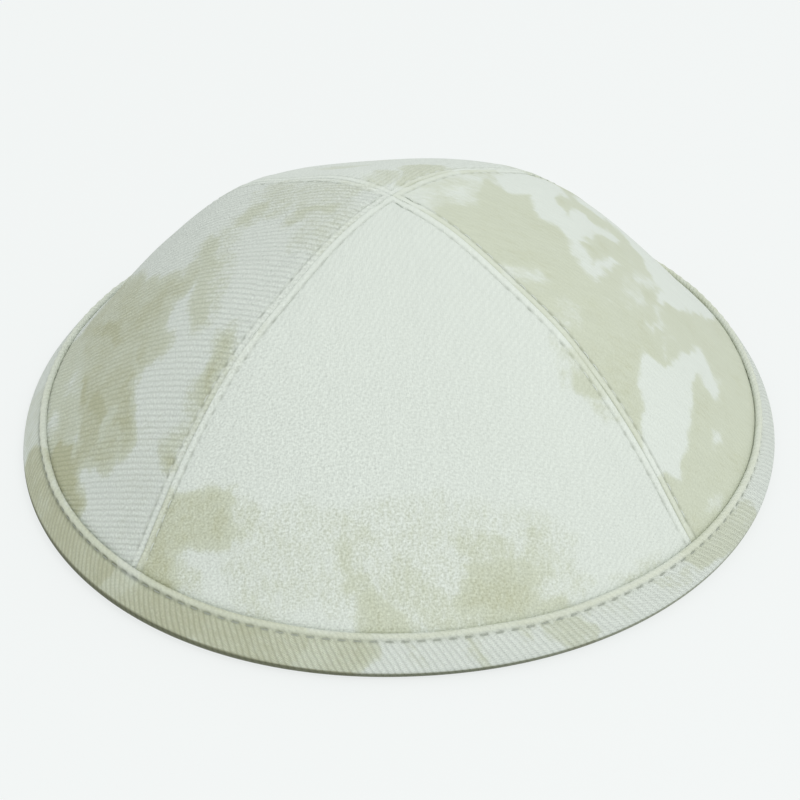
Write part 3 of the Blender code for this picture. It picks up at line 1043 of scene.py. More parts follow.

# %% [markdown]
# # The cloth materials
#
# The five pieces are cut from one kind of cloth, but it doesn't look the same on each. The photograph shows
# clear grooves where the light rakes over the left panel and the tape, and nearly smooth cloth on the right.
# So the pieces share the two groups, and each has its own depth of weave and its own strength of painted
# shade in the grooves of its weave.

# %% Build the cloth materials
Cloth = namedtuple("Cloth", "name undyed dyed deep rubbed weave_height weave_scale groove_tone")
UNDYED = (0.640, 0.682, 0.632)
DYED = (0.535, 0.569, 0.457)
DEEP = (0.432, 0.445, 0.295)
RUBBED = (0.70, 0.74, 0.67)
TAPE_COLOURS = ((0.665, 0.708, 0.655), (0.570, 0.606, 0.490), (0.455, 0.470, 0.330), (0.545, 0.570, 0.460))
# the last number of each cloth is the strength of the painted shade in its twill's grooves, strongest where
# the light rakes over the cloth
CLOTHS = {
    "front": Cloth("twill_front", UNDYED, DYED, DEEP, RUBBED, 0.09 * MM, 1.0, 0.03),
    "right": Cloth("twill_right", UNDYED, DYED, DEEP, RUBBED, 0.05 * MM, 1.0, 0.015),
    "back": Cloth("twill_back", UNDYED, DYED, DEEP, RUBBED, 0.13 * MM, 1.0, 0.06),
    "left": Cloth("twill_left", UNDYED, DYED, DEEP, RUBBED, 0.22 * MM, 1.0, 0.12),
    "tape": Cloth("binding_twill", *TAPE_COLOURS, 0.27 * MM, 0.95, 0.15),
}
# the colour that painted shade in folds, needle holes, grooves and under the tape's fold darkens towards
PAINTED_SHADE_TINT = (0.28, 0.29, 0.24)
SHEEN = 0.12
ROUGH_IN_GROOVES, ROUGH_ON_YARNS = 0.9, 0.8
FLUFF_SIZE = 0.25 * MM
FLUFF_HEIGHT = 0.25  # against the weave


def mask(tree, name):
    """A number that is stored on the mesh's points."""
    return node(tree, "ShaderNodeAttribute", attribute_name=name).outputs["Fac"]


def cloth_material(cloth):
    """A dyed twill. The weave gives the bump and the tone, and the dye group the colour."""
    material = bpy.data.materials.new(cloth.name)
    material.use_nodes = True
    tree = material.node_tree
    shader = tree.nodes["Principled BSDF"]
    flat = node(tree, "ShaderNodeUVMap", uv_map="flat_cloth").outputs["UV"]
    rubbed = mask(tree, "rubbed")
    weave = use_group(
        tree, twill_weave, Cloth=flat, Warp_Pitch=WARP_PITCH * cloth.weave_scale,
        Weft_Pitch=WEFT_PITCH * cloth.weave_scale, Groove_Tone=cloth.groove_tone, Rubbed=rubbed,
        Fuzz=mask(tree, "fuzz"),
    )
    # the shade mask tints the colour down with painted shade where a point sits deep
    colour = use_group(
        tree, tie_dye, Cloth=flat, Dye=mask(tree, "dye"), Tone=weave["Tone"], Hollow=mask(tree, "painted_shade"),
        Undyed=(*cloth.undyed, 1), Dyed=(*cloth.dyed, 1), Deep=(*cloth.deep, 1),
        Hollow_Tint=(*PAINTED_SHADE_TINT, 1), Rubbed=rubbed, Rubbed_Tint=(*cloth.rubbed, 1),
    )["Color"]
    fluff = cloud(tree, flat, FLUFF_SIZE, detail=2.0)
    raised = node(tree, "ShaderNodeBump")
    raised.inputs["Strength"].default_value = 1.0
    raised.inputs["Distance"].default_value = cloth.weave_height
    feed(tree, raised.inputs["Height"], calc(tree, "MULTIPLY_ADD", fluff, FLUFF_HEIGHT, weave["Height"]))
    feed(tree, shader.inputs["Normal"], raised.outputs["Normal"])
    feed(tree, shader.inputs["Base Color"], colour)
    roughness = remap(tree, weave["Height"], 0.0, 1.0, ROUGH_IN_GROOVES, ROUGH_ON_YARNS)
    feed(tree, shader.inputs["Roughness"], roughness)
    shader.inputs["Specular IOR Level"].default_value = 0.25
    shader.inputs["Sheen Weight"].default_value = SHEEN
    shader.inputs["Sheen Roughness"].default_value = 0.5
    return material


cloth_materials = {place: cloth_material(cloth) for place, cloth in CLOTHS.items()}
print("materials:", [material.name for material in cloth_materials.values()])

# %% [markdown]
# # From arrays to a piece
#
# Every piece of the cap is worked out as arrays and then handed to Blender in one go. A panel is a closed
# wall: an outer sheet, an inner sheet and a border that joins them. Blender's Solidify could make the inner
# sheet, but not one that lies deeper where the seam allowance is turned back, so the wall is written out.

# %% Make meshes


def wall_faces(rows, columns):
    """Faces of a closed wall of two sheets of rows by columns points, the outer sheet's points first.

    The outer sheet's corners run down and then across, the inner one's the other way round. The border
    follows the outline once round and joins each outer edge to the inner one under it.
    """
    index = np.arange(rows * columns).reshape(rows, columns)
    outer = np.stack([index[:-1, :-1], index[1:, :-1], index[1:, 1:], index[:-1, 1:]], axis=-1).reshape(-1, 4)
    inner = outer[:, ::-1] + rows * columns
    rim = np.concatenate([index[0, :-1], index[:-1, -1], index[-1, :0:-1], index[:0:-1, 0]])
    following = np.roll(rim, -1)
    border = np.stack([rim, following, following + rows * columns, rim + rows * columns], axis=-1)
    return np.concatenate([outer, inner, border])


def new_piece(name, points, faces, material, flat, masks):
    """A smooth mesh piece that rides on the cap, with its flat-cloth map and its point masks."""
    mesh = bpy.data.meshes.new(name)
    mesh.from_pydata(as_it_lies(points).tolist(), [], faces)
    layer = mesh.uv_layers.new(name="flat_cloth")
    layer.uv.foreach_set("vector", flat.astype(np.float32).ravel())
    for label, values in masks.items():
        attribute = mesh.attributes.new(label, "FLOAT", "POINT")
        attribute.data.foreach_set("value", values.astype(np.float32).ravel())
    mesh.shade_smooth()
    mesh.materials.append(material)
    piece = bpy.data.objects.new(name, mesh)
    bpy.context.scene.collection.objects.link(piece)
    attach(piece, "root")
    return piece


print("faces of a panel's wall:", len(wall_faces(*way.shape)))

# %% [markdown]
# # Sew the panels
#
# Each panel takes the plain crown, turned to face its own way, and adds its relief. It also stores what the
# material needs on each point: its dye, its painted shade where it sits deep in a fold or a hole, how rubbed
# the strips beside the seams are, and how fluffy the cloth is. Cloth gets fluffy where hands and heads rub
# it, and here most on the left.

# %% Build the four panels
LEFT_FUZZ = 0.55  # how much fluffier the left panel is than the others
FLUFFIEST_WAY = math.radians(-160)
FUZZ_AT_POINT, LEAST_FUZZ, MOST_FUZZ = 0.1, 0.05, 1.6
STRIP_RUBBED = 0.4  # how far the strips beside a seam are rubbed pale
ALLOWANCE_EDGE = 0.3 * MM  # over which the turned-back allowance ends
DIP_INSIDE = 0.3  # share of an outer dip that the inner side shows
PAINTED_SHADE_INSIDE = 0.2  # and of its shade


def seam_turn(quarter_turns):
    """The way that the middle of a panel faces, as an angle about the upright axis."""
    return math.radians(TURN_DEG - 90) + quarter_turns * math.pi / 2


def fuzziness(way, heading):
    """How fluffy the cloth is, 0 to 1: smooth by the point and on the right, rough low on the left."""
    leftward = 0.5 + 0.5 * np.cos(heading - FLUFFIEST_WAY)
    return np.clip(MOST_FUZZ * leftward * np.clip(FUZZ_AT_POINT + way, 0, 1) ** 1.5, LEAST_FUZZ, 1)


def panel_masks(panel, seed, turn):
    """What the material needs on each point of a panel's two sheets.

    The right panel's front half lies in the lee of the strip beside it, so its row of stitches takes more
    painted shade.
    """
    in_lee = (panel.side == "right") & (bearing < 0)
    # painted shade of the sewing; the inner sheet takes a share of it
    painted_shade = sewing_shade(seed, np.where(in_lee, SHADED_ROW, ROW_SHADE)).ravel()
    dye = panel_dye(panel).ravel()
    rubbed = STRIP_RUBBED * bump(from_seam - 0.45 * STITCH_INSET, STRIP_MIDDLE) * (way < 1)
    fuzz = np.clip(fuzziness(way, bearing + turn) + LEFT_FUZZ * (panel.side == "left"), 0, 1).ravel()
    return {
        "dye": np.concatenate([dye, dye]),
        "fuzz": np.concatenate([fuzz, fuzz]),
        "painted_shade": np.concatenate([painted_shade, PAINTED_SHADE_INSIDE * painted_shade]),
        "rubbed": np.concatenate([rubbed.ravel(), np.zeros(rubbed.size)]),
    }


def make_panel(panel):
    """One quarter of the crown as cloth: the outer sheet with its relief, and the inner one under it."""
    turn = seam_turn(panel.quarter_turns)
    seed = 30 + 5 * panel.quarter_turns
    relief = panel_relief(seed)
    doubled = np.clip((SEAM_ALLOWANCE + ALLOWANCE_EDGE - from_seam) / ALLOWANCE_EDGE, 0, 1) * (way < 1)
    plain = placed(way, bearing, turn)
    normal = outward(way, bearing, turn)
    outer = plain + normal * relief[..., None]
    inside = np.minimum(relief, 0) * DIP_INSIDE - CLOTH_WALL - SEAM_DOUBLING * doubled
    inner = plain + normal * inside[..., None]
    points = np.concatenate([outer.reshape(-1, 3), inner.reshape(-1, 3)])
    faces = wall_faces(*way.shape)
    flat = np.concatenate([panel_flat.reshape(-1, 2)] * 2)[faces.ravel()]
    masks = panel_masks(panel, seed, turn)
    piece = new_piece("cloth_" + panel.side, points, faces.tolist(), cloth_materials[panel.side], flat, masks)
    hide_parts("panel_" + panel.side)
    return piece


panel_pieces = [make_panel(panel) for panel in PANELS]
print("panels:", [(piece.name, len(piece.data.polygons)) for piece in panel_pieces])

# %% [markdown]
# # The bias tape
#
# The rim is bound with a tape cut on the bias, slantwise to its yarns, so that it bends round the curve
# without creases. It is folded over the panels' lower edge and stitched through. Its upper edge rolls over
# into a smooth lip like a cord, the stitches sink into a groove under the lip, and the band below bulges a
# little between its seam and its fold. A curve with a bevel could carry one profile round the rim. Here the
# section is an array of points instead, because its groove and bulge change with each stitch.

# %% Shape the tape's section
LIP_ROLL = 0.78 * MM  # radius of the rolled lip
LIP_WRAP = 1.25 * math.pi  # how far round the roll goes, from inside the lip to the groove
TapePoint = namedtuple("TapePoint", "down out")  # mm down from the lip's top, mm out from the tape's face
BAND_PROFILE = (
    TapePoint(1.33, 0.23),
    TapePoint(1.56, -0.04),
    TapePoint(1.78, -0.14),
    TapePoint(2.1, -0.08),
    TapePoint(2.6, 0.07),
    TapePoint(3.6, 0.19),
    TapePoint(4.6, 0.24),
    TapePoint(5.8, 0.16),
    TapePoint(7.23, 0.0),
)
GROOVE_FOOT = 4  # the row of that profile where the groove ends and the band starts
OUT_OF_SIGHT = 1.0  # counts as the depth, in metres, of points that no relief reaches


def lip_and_band():
    """The tape's outer side from inside the lip to the fold, as (radius, height), and its depth.

    The lip is an arc. Below it a smooth curve through the profile stands out from the tape's leaning face.
    """
    roll = np.linspace(0.0, LIP_WRAP, 14)
    band_down, band_out = np.array(BAND_PROFILE).T * MM
    groove_at = np.linspace(band_down[0], band_down[GROOVE_FOOT], 11)[1:]
    band_at = np.linspace(band_down[GROOVE_FOOT], SIDE_LENGTH, 13)[1:]
    below = np.concatenate([groove_at, band_at])
    down = np.concatenate([LIP_ROLL - LIP_ROLL * np.sin(roll), below])
    out = np.concatenate([
        -CLOTH_WALL + LIP_ROLL - LIP_ROLL * np.cos(roll),
        smooth_curve(band_down, band_out, np.minimum(below, band_down[-1])),
    ])
    side = FOLD + np.outer(SIDE_LENGTH - down, SIDE_UP) + np.outer(HALF_BINDING + out, SIDE_OUT)
    return side, down


def fold_arc(radius, angles):
    """Points on a circle about the fold's centre."""
    return FOLD + radius * np.stack([np.cos(angles), np.sin(angles)], axis=-1)


def tape_side(lengths, across):
    """Points up the tape's straight side, a distance across from its middle."""
    return FOLD + np.outer(lengths, SIDE_UP) + across * SIDE_OUT


def tape_section():
    """The closed section as (radius, height), each point's depth, and how many points the outside has.

    It runs from the inside of the lip over its roll, down the groove and the band, round the fold, along
    the flat foot, up the inner side, over the turned-in end and back down the channel that holds the panels.
    """
    outer, down = lip_and_band()
    slope = math.atan2(SIDE_UP[1], -SIDE_UP[0])
    start = math.pi / 2 - slope
    foot = math.asin(FOOT_WIDTH / 2 / HALF_BINDING)
    inner_top = SIDE_LENGTH - INNER_TURN_SHORT - CLOTH_WALL / 2
    turned = np.linspace(-math.pi / 2, math.pi / 2, 5)
    middle = FOLD + SIDE_UP * inner_top - SIDE_OUT * (HALF_BINDING - CLOTH_WALL / 2)
    turn_in = np.outer(np.cos(turned), SIDE_UP) + np.outer(np.sin(turned), SIDE_OUT)
    turn_in = middle + CLOTH_WALL / 2 * turn_in
    channel = HALF_BINDING - CLOTH_WALL
    points = np.concatenate([
        outer,
        fold_arc(HALF_BINDING, np.linspace(start, foot - math.pi / 2, 13)[1:]),
        fold_arc(HALF_BINDING, np.linspace(-foot - math.pi / 2, start - math.pi, 9)),
        tape_side(np.linspace(0, inner_top, 9)[1:-1], -HALF_BINDING),
        turn_in,
        tape_side(np.linspace(inner_top, 0, 5)[1:-1], -channel),
        fold_arc(channel, np.linspace(start - math.pi, start, 7)),
        tape_side(np.linspace(0, SIDE_LENGTH - LIP_ROLL, 6)[1:-1], channel),
    ])
    depth = np.full(len(points), OUT_OF_SIGHT)
    depth[:len(outer)] = down
    return points, depth, len(outer)


section, tape_down, tape_outer = tape_section()
tape_steps = np.linalg.norm(np.diff(section, axis=0), axis=1)
tape_across = np.concatenate([[0], np.cumsum(tape_steps)])
print("tape section:", len(section), "points, cloth across, mm:", round(tape_across[-1] / MM, 1))

# %% [markdown]
# # Follow the rim
#
# The section is carried round the rim at many small steps, seven to a stitch. The rim is not quite a circle,
# so its formula is the crown's. Each step also knows how far it is from the nearest needle hole, because the
# thread squeezes the tape there. The two ends of the tape meet behind the cap.

# %% Formulas of the rim
RIM_STITCHES = 164
STEPS_PER_STITCH = 7
TAPE_STEPS = RIM_STITCHES * STEPS_PER_STITCH
TAPE_RADIUS = LIP_DIAMETER / 2 + 1.6 * MM  # where its length along the rim is measured
TAPE_END_BEARING = math.radians(100)
HOLE_HALF, HOLE_FADE = 0.14, 0.16  # shares of a pitch: the hole's own, and over which its pull fades


def rim_point(radius, height, heading):
    """Points round the rim, for arrays of a section's radius and height and of the heading.

    The level section is squared as the crown's foot is, and leans with the crown towards its upper edge.
    """
    full = fullness(SQUARENESS_AT_RIM, heading - math.radians(TURN_DEG))
    x = radius * full * np.cos(heading) + SIDEWAYS_LEAN * foot_share(height)
    return np.stack([x, radius * full * np.sin(heading), np.broadcast_to(height, x.shape)], axis=-1)


def stitch_share(heading):
    """1 beside the middle of a rim stitch, 0 at its needle holes, for a heading round the rim."""
    phase = (heading - TAPE_END_BEARING) / (2 * math.pi) * RIM_STITCHES
    from_hole = np.abs((phase + 0.5) % 1 - 0.5)
    return s_curve(np.clip((from_hole - HOLE_HALF) / HOLE_FADE, 0, 1))


tape_heading = TAPE_END_BEARING - np.linspace(2 * math.pi, 0, TAPE_STEPS + 1)
rim_stitch = 2 * math.pi * TAPE_RADIUS / RIM_STITCHES
print("steps round the rim:", TAPE_STEPS, "one stitch, mm:", round(rim_stitch / MM, 2))

# %% [markdown]
# # Relief and shade of the tape
#
# The groove is deepest beside a thread, and filled where the thread goes through to the inside. The lip
# swells between two stitches, and its edge wanders by a fraction of a millimetre, as a hand-guided edge does.
# The groove is darker than rays alone would make it, most on the left, where it is in the lip's lee.

# %% Shape and shade the tape
GROOVE_BETWEEN = 0.16 * MM  # how much of the groove the cloth fills between two stitches
GROOVE_DOWN = 1.78 * MM
GROOVE_HALF = 0.42 * MM
LIP_SWELL, LIP_SWELL_MEAN = 0.10 * MM, 0.4
LIP_UNEVEN, LIP_UNEVEN_SIZE = 0.06 * MM, 5 * MM
BAND_FROM, BAND_TO = 2.3 * MM, 7.2 * MM
BAND_UNEVEN, BAND_UNEVEN_SIZE = 0.07 * MM, 9 * MM
BAND_SWELL, BAND_SWELL_DOWN, BAND_SWELL_HALF = 0.05 * MM, 3.0 * MM, 0.8 * MM
LIP_WANDER, LIP_WANDER_SIZE, WANDER_DOWN = 0.14 * MM, 14 * MM, 4 * MM
LIP_SCALLOP, SCALLOP_DOWN, SCALLOP_HALF = 0.10 * MM, 1.55 * MM, 0.45 * MM  # the lip's edge over each stitch
STITCH_DOWN = 1.82 * MM  # from the top of the lip to the stitches
SHADE_HALF, SHADE_HALF_LEFT = 0.30 * MM, 0.12 * MM  # the shaded line's half width, and more on the left
GROOVE_SHADE, GROOVE_SHADE_FRONT, GROOVE_SHADE_LEFT = 0.27, 0.11, 0.34
AT_HOLES, AT_HOLES_LEFT = 0.02, 0.55  # share of that shade at the needle holes, and more on the left
FRONT_WAY = math.radians(-110)
LEFT_STARTS, LEFT_RISES = -108, 22  # degrees: where the lee of the lip starts, and over which it builds up
LEFT_ENDS, LEFT_FALLS = -215, 20


def left_lee(heading):
    """How far a heading is on the left, where the lip keeps the lamp off the groove: 0 to 1."""
    degrees = np.degrees(heading)
    rise = np.clip((LEFT_STARTS - degrees) / LEFT_RISES, 0, 1)
    return rise * np.clip((degrees - LEFT_ENDS) / LEFT_FALLS, 0, 1)


def tape_ring(heading):
    """The section at each heading, as (radius, height).

    push moves a point out from the tape's face and slide moves it up along it. Both are sums of bell curves
    about the lip, the groove and the band, times the share of a stitch or soft noise along the rim.
    """
    down, length = tape_down[None, :], heading[:, None] * TAPE_RADIUS
    beside = stitch_share(heading)[:, None]
    lip = bump(down - LIP_ROLL, 0.9 * LIP_ROLL)
    band = np.clip((down - BAND_FROM) / MM, 0, 1) * np.clip((BAND_TO - down) / MM, 0, 1)
    push = bump(down - GROOVE_DOWN, GROOVE_HALF) * GROOVE_BETWEEN * (1 - beside)
    push = push - LIP_SWELL * lip * (beside - LIP_SWELL_MEAN)
    swell = BAND_SWELL * bump(down - BAND_SWELL_DOWN, BAND_SWELL_HALF) * (0.5 - beside)
    push += band * (BAND_UNEVEN * cloudy(length, down * 0 + 1.0, BAND_UNEVEN_SIZE, 71) + swell)
    push += lip * LIP_UNEVEN * cloudy(length, down * 0 + 2.0, LIP_UNEVEN_SIZE, 72)
    slide = LIP_WANDER * cloudy(length, down * 0 + 3.0, LIP_WANDER_SIZE, 73)
    slide = slide * np.clip((WANDER_DOWN - down) / (WANDER_DOWN / 2), 0, 1)
    slide = slide + LIP_SCALLOP * (beside - 0.5) * bump(down - SCALLOP_DOWN, SCALLOP_HALF)
    return section[None] + push[..., None] * SIDE_OUT + slide[..., None] * SIDE_UP


def groove_shade(heading):
    """How much painted shade each point takes in the groove: a bell curve about the stitches, stronger beside
    each one.
    """
    left = left_lee(heading)[:, None]
    strength = GROOVE_SHADE + GROOVE_SHADE_FRONT * np.cos(heading - FRONT_WAY)[:, None]
    strength = strength + GROOVE_SHADE_LEFT * left
    along = AT_HOLES + AT_HOLES_LEFT * left
    along = along + (1 - AT_HOLES - AT_HOLES_LEFT * left) * stitch_share(heading)[:, None]
    return strength * bump(tape_down - STITCH_DOWN, SHADE_HALF + SHADE_HALF_LEFT * left) * along


print("points of the tape:", tape_ring(tape_heading)[..., 0].size)
print("darkest point of its groove:", round(groove_shade(tape_heading).max(), 2))

# %% [markdown]
# # Where the fold turns under
#
# Along its foot the tape turns under and touches what it rests on, and the photograph shows a thin dark line
# there. The floor glows, so it would light that line from below. So a painted contact shadow tints the fold's
# underside dark instead, strongest at the front and on the left.

# %% Shade the fold
CONTACT_LEFT_WAY = math.radians(-140)
CONTACT_RISE = 0.7 * MM  # how much higher the dark part reaches on the left
CONTACT_EDGE = 0.35 * MM  # of height, over which it ends
# how strong the painted contact shadow is round the rim: its mean, how far it swings and its least
CONTACT_SHADOW_MEAN, CONTACT_SHADOW_SWING, LEAST_CONTACT_SHADOW = 0.75, 0.6, 0.3
FAINTEST_SHADOW_WAY = math.radians(35)  # where the painted contact shadow is faintest
FACING_FROM, FACING_FROM_LEFT = 0.26, 0.62  # how steep a place may still be, and how much more on the left
FACING_FADE = 0.28


def under_fold(heading):
    """How much painted contact shadow each point takes where the fold turns under: 0 above it, 1 where it
    meets what it rests on.

    A point counts by how far its part of the section faces down, up to a limit of height. The painted shadow
    is strongest at the front and on the left, and there the dark part also reaches higher.
    """
    steps = np.gradient(section, axis=0)
    facing_down = -steps[:, 0] / np.linalg.norm(steps, axis=1)
    left = np.clip(np.cos(heading - CONTACT_LEFT_WAY), 0, 1)[:, None] ** 6
    shadow_strength = np.clip(CONTACT_SHADOW_MEAN - CONTACT_SHADOW_SWING * np.cos(heading - FAINTEST_SHADOW_WAY), LEAST_CONTACT_SHADOW, 1)[:, None]
    low = np.clip((HALF_BINDING + CONTACT_RISE * left - section[:, 1]) / CONTACT_EDGE + 0.5, 0, 1)
    low = low * (np.arange(len(section)) >= tape_outer - 1)
    return low * shadow_strength * np.clip((facing_down + FACING_FROM + FACING_FROM_LEFT * left) / FACING_FADE, 0, 1)


print("darkest point of the fold:", round(under_fold(tape_heading).max(), 2))

# %% [markdown]
# # The dye of the tape
#
# The tape was cut from the same dyed cloth, so its blots run across it and stop at its edges. They are
# charted like the panels', by the bearing round the rim in degrees and by the distance in millimetres across
# the tape from the inside of its lip. The rubbed lip has lost some of its dye.

# %% Chart the tape's dye
LIP_FADED = 0.35  # share of the dye that the rubbed lip has lost
CONTACT_SHADOW_AS_DYE = 1.2  # painted contact shadow, added to the dye level so that the fold's underside darkens towards deep olive
TAPE_BASE, TAPE_EDGE = 0.05, 3.0
TapeStroke = namedtuple("TapeStroke", "from_deg to_deg from_down to_down half_width depth")
TAPE_STROKES = (
    TapeStroke(-181, -168, 6, 5, 4.5, 0.45),
    TapeStroke(-165, -150, 6, 6, 5.5, 1.95),
    TapeStroke(-152, -139, 6, 6, 5.5, 2.05),
    TapeStroke(-137, -129, 7, 8, 5.0, 1.45),
    TapeStroke(-128, -106, 6, 6, 6.0, 1.75),
    TapeStroke(-107, -98, 6, 7, 5.5, 1.4),
    TapeStroke(-89.5, -87.5, 4, 9, 1.2, 0.55),
    TapeStroke(-80.5, -79, 2, 9, 1.4, 0.65),
    TapeStroke(-75, -74, 3, 5, 1.2, 0.5),
    TapeStroke(-69, -64, 4, 8, 3.0, 0.8),
    TapeStroke(-60, -58, 2, 8, 1.2, 0.4),
    TapeStroke(-52, -47, 4, 8, 1.6, 0.45),
    TapeStroke(-43, -30, 5, 8, 4.5, 0.9),
    TapeStroke(-94, -62, 1.4, 1.4, 1.2, 0.7),
    TapeStroke(-45, -5, 1.0, 1.0, 1.2, 0.5),
    TapeStroke(22, 40, 5, 6, 5.0, 1.0),
    TapeStroke(66, 80, 6, 5, 5.0, 1.3),
    TapeStroke(96, 108, 6, 6, 5.0, 1.0),
    TapeStroke(130, 158, 6, 6, 5.0, 1.2),
)


def along_rim(degrees):
    """The length along the rim of a bearing, in mm."""
    return math.radians(degrees) * TAPE_RADIUS / MM


def tape_dye_and_shadow(heading):
    """Dye of the tape: the panels' formula on the tape's length and width, faded on its lip, plus the painted
    contact shadow under the fold.
    """
    length = heading[:, None] * TAPE_RADIUS + np.zeros(len(section))
    across = np.broadcast_to(tape_across, length.shape)
    strokes = [
        Stroke(along_rim(s.from_deg), s.from_down, along_rim(s.to_deg), s.to_down, s.half_width, s.depth)
        for s in TAPE_STROKES
    ]
    dye = soaked(length, across, TAPE_BASE, TAPE_EDGE, strokes, seed=90)
    lip = bump(tape_down - LIP_ROLL, 1.1 * LIP_ROLL)
    return dye * (1 - LIP_FADED * lip) + CONTACT_SHADOW_AS_DYE * under_fold(heading)


print("share of dyed tape:", round(float((tape_dye_and_shadow(tape_heading) > 0.5).mean()), 2))

# %% [markdown]
# # Join the rings of the tape
#
# The rings of points become one closed band of four-cornered faces, each ring joined to the next and the
# last to the first. The map to the flat cloth must not wrap round at that join, or the weave would smear
# there, so each face takes its corners' lengths along the rim and not its points'. The map is turned by the
# slant at which the photograph shows the tape's ribs.

# %% Build the tape
TAPE_TURN_DEG = 64  # from the rim to the weft
LIP_RUBBED = 0.75
TAPE_FUZZ = 0.5  # against the panels'


def tape_flat():
    """Where each corner of each face lies on the flat cloth: its length and width, turned by the slant."""
    along = tape_heading[:, None] * TAPE_RADIUS + np.zeros(len(section))
    across = np.broadcast_to(tape_across, along.shape)
    closing = 2 * tape_across[-1] - tape_across[-2]
    closed = np.broadcast_to(np.append(tape_across[1:], closing), along.shape)
    corners = [
        (along[:-1], across[:-1]),
        (along[:-1], closed[:-1]),
        (along[1:], closed[1:]),
        (along[1:], across[1:]),
    ]
    turn = math.radians(TAPE_TURN_DEG)
    return np.stack([
        np.stack([a * math.cos(turn) - b * math.sin(turn), b * math.cos(turn) + a * math.sin(turn)], axis=-1)
        for a, b in corners
    ], axis=2)


def make_tape():
    """The closed section at each step round the rim, joined to the next, and at the end to the first."""
    heading = tape_heading[:-1]
    ring = tape_ring(tape_heading)
    points = rim_point(ring[..., 0], ring[..., 1], tape_heading[:, None])[:-1].reshape(-1, 3)
    index = np.arange(len(heading) * len(section)).reshape(len(heading), len(section))
    beyond, below = np.roll(index, -1, axis=0), np.roll(index, -1, axis=1)
    faces = np.stack([index, below, np.roll(beyond, -1, axis=1), beyond], axis=-1).reshape(-1, 4)
    rubbed = LIP_RUBBED * bump(tape_down - 0.9 * LIP_ROLL, 1.3 * LIP_ROLL)
    # the dye takes the painted contact shadow under the fold as well, and the shade mask holds the painted
    # shade of the groove and the painted contact shadow
    masks = {
        "dye": tape_dye_and_shadow(heading),
        "painted_shade": groove_shade(heading) + under_fold(heading),
        "rubbed": np.broadcast_to(rubbed, index.shape),
        "fuzz": np.broadcast_to(TAPE_FUZZ * fuzziness(1.0, heading)[:, None], index.shape),
    }
    flat = tape_flat().reshape(-1, 2)
    piece = new_piece("bias_tape", points, faces.tolist(), cloth_materials["tape"], flat, masks)
    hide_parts("rim_binding")
    return piece


tape = make_tape()
print("tape:", len(tape.data.polygons), "faces")

# %% [markdown]
# # Thread
#
# Thread is two or three plies wound round each other. At this size the plies are a stripe that slants round
# the thread, so the material makes them from the thread's own map, as bump and as painted shade between them.

# %% Build the thread's material
PLY_PITCH = 0.55 * MM
PLY_HEIGHT = 0.06 * MM
# painted shade in the crevices between the plies; ON_PLIES is the thread's own colour
PLY_GAP_SHADE = (0.52, 0.555, 0.50)
ON_PLIES = (0.66, 0.70, 0.64)


def thread_material():
    """Matte thread: length over the ply's pitch plus the way round counts the plies, as slanting stripes."""
    material = bpy.data.materials.new("sewing_thread")
    material.use_nodes = True
    tree = material.node_tree
    shader = tree.nodes["Principled BSDF"]
    place = node(tree, "ShaderNodeSeparateXYZ")
    tree.links.new(node(tree, "ShaderNodeUVMap", uv_map="flat_cloth").outputs["UV"], place.inputs[0])
    turns = calc(tree, "ADD", calc(tree, "DIVIDE", place.outputs["X"], PLY_PITCH), place.outputs["Y"])
    ply = calc(tree, "PINGPONG", calc(tree, "MULTIPLY", turns, 2), 0.5)
    # painted shade between the plies
    colour = blend_colour(tree, remap(tree, ply, 0.0, 0.4), (*PLY_GAP_SHADE, 1), (*ON_PLIES, 1))
    # painted shade: a stitch that lies in the tape's groove is tinted down
    tint = blend_colour(tree, mask(tree, "painted_shade"), (1, 1, 1, 1), (*PAINTED_SHADE_TINT, 1))
    feed(tree, shader.inputs["Base Color"], blend_colour(tree, 1.0, colour, tint, blend="MULTIPLY"))
    raised = node(tree, "ShaderNodeBump")
    raised.inputs["Distance"].default_value = PLY_HEIGHT
    feed(tree, raised.inputs["Height"], ply)
    feed(tree, shader.inputs["Normal"], raised.outputs["Normal"])
    shader.inputs["Roughness"].default_value = 0.75
    shader.inputs["Specular IOR Level"].default_value = 0.3
    return material


sewing_thread = thread_material()
print("material:", sewing_thread.name)

# %% [markdown]
# # A stitch
#
# A stitch is a short length of thread whose ends dive into the cloth. There are some 800 of them outside and
# inside, so each is a plain tube with six sides and few rings, and all the stitches of a row are one mesh
# worked out in one go.

# %% Make tubes of thread
STITCH_LENGTH = 2.1 * MM  # seen between two needle holes
STITCH_RINGS = 7
STITCH_SIDES = 6
STITCH_TAPER = 0.45  # share of its radius that a stitch loses where it dives
stitch_run = np.linspace(-1, 1, STITCH_RINGS)  # from one end of a stitch to the other


def stitch_lift(radius):
    """Height of a thread's middle over its row: it lies on the cloth, and its ends dive under the surface."""
    return radius * (0.35 - 2.6 * np.abs(stitch_run) ** 4)


def thread_faces(count):
    """Four-cornered faces round and along each of count tubes, and a six-cornered face at each end."""
    index = np.arange(count * STITCH_RINGS * STITCH_SIDES).reshape(count, STITCH_RINGS, STITCH_SIDES)
    near, far = index[:, :-1], index[:, 1:]
    sides = np.stack([near, np.roll(near, -1, axis=2), np.roll(far, -1, axis=2), far], axis=-1).reshape(-1, 4)
    return sides, np.concatenate([index[:, 0, ::-1], index[:, -1]])


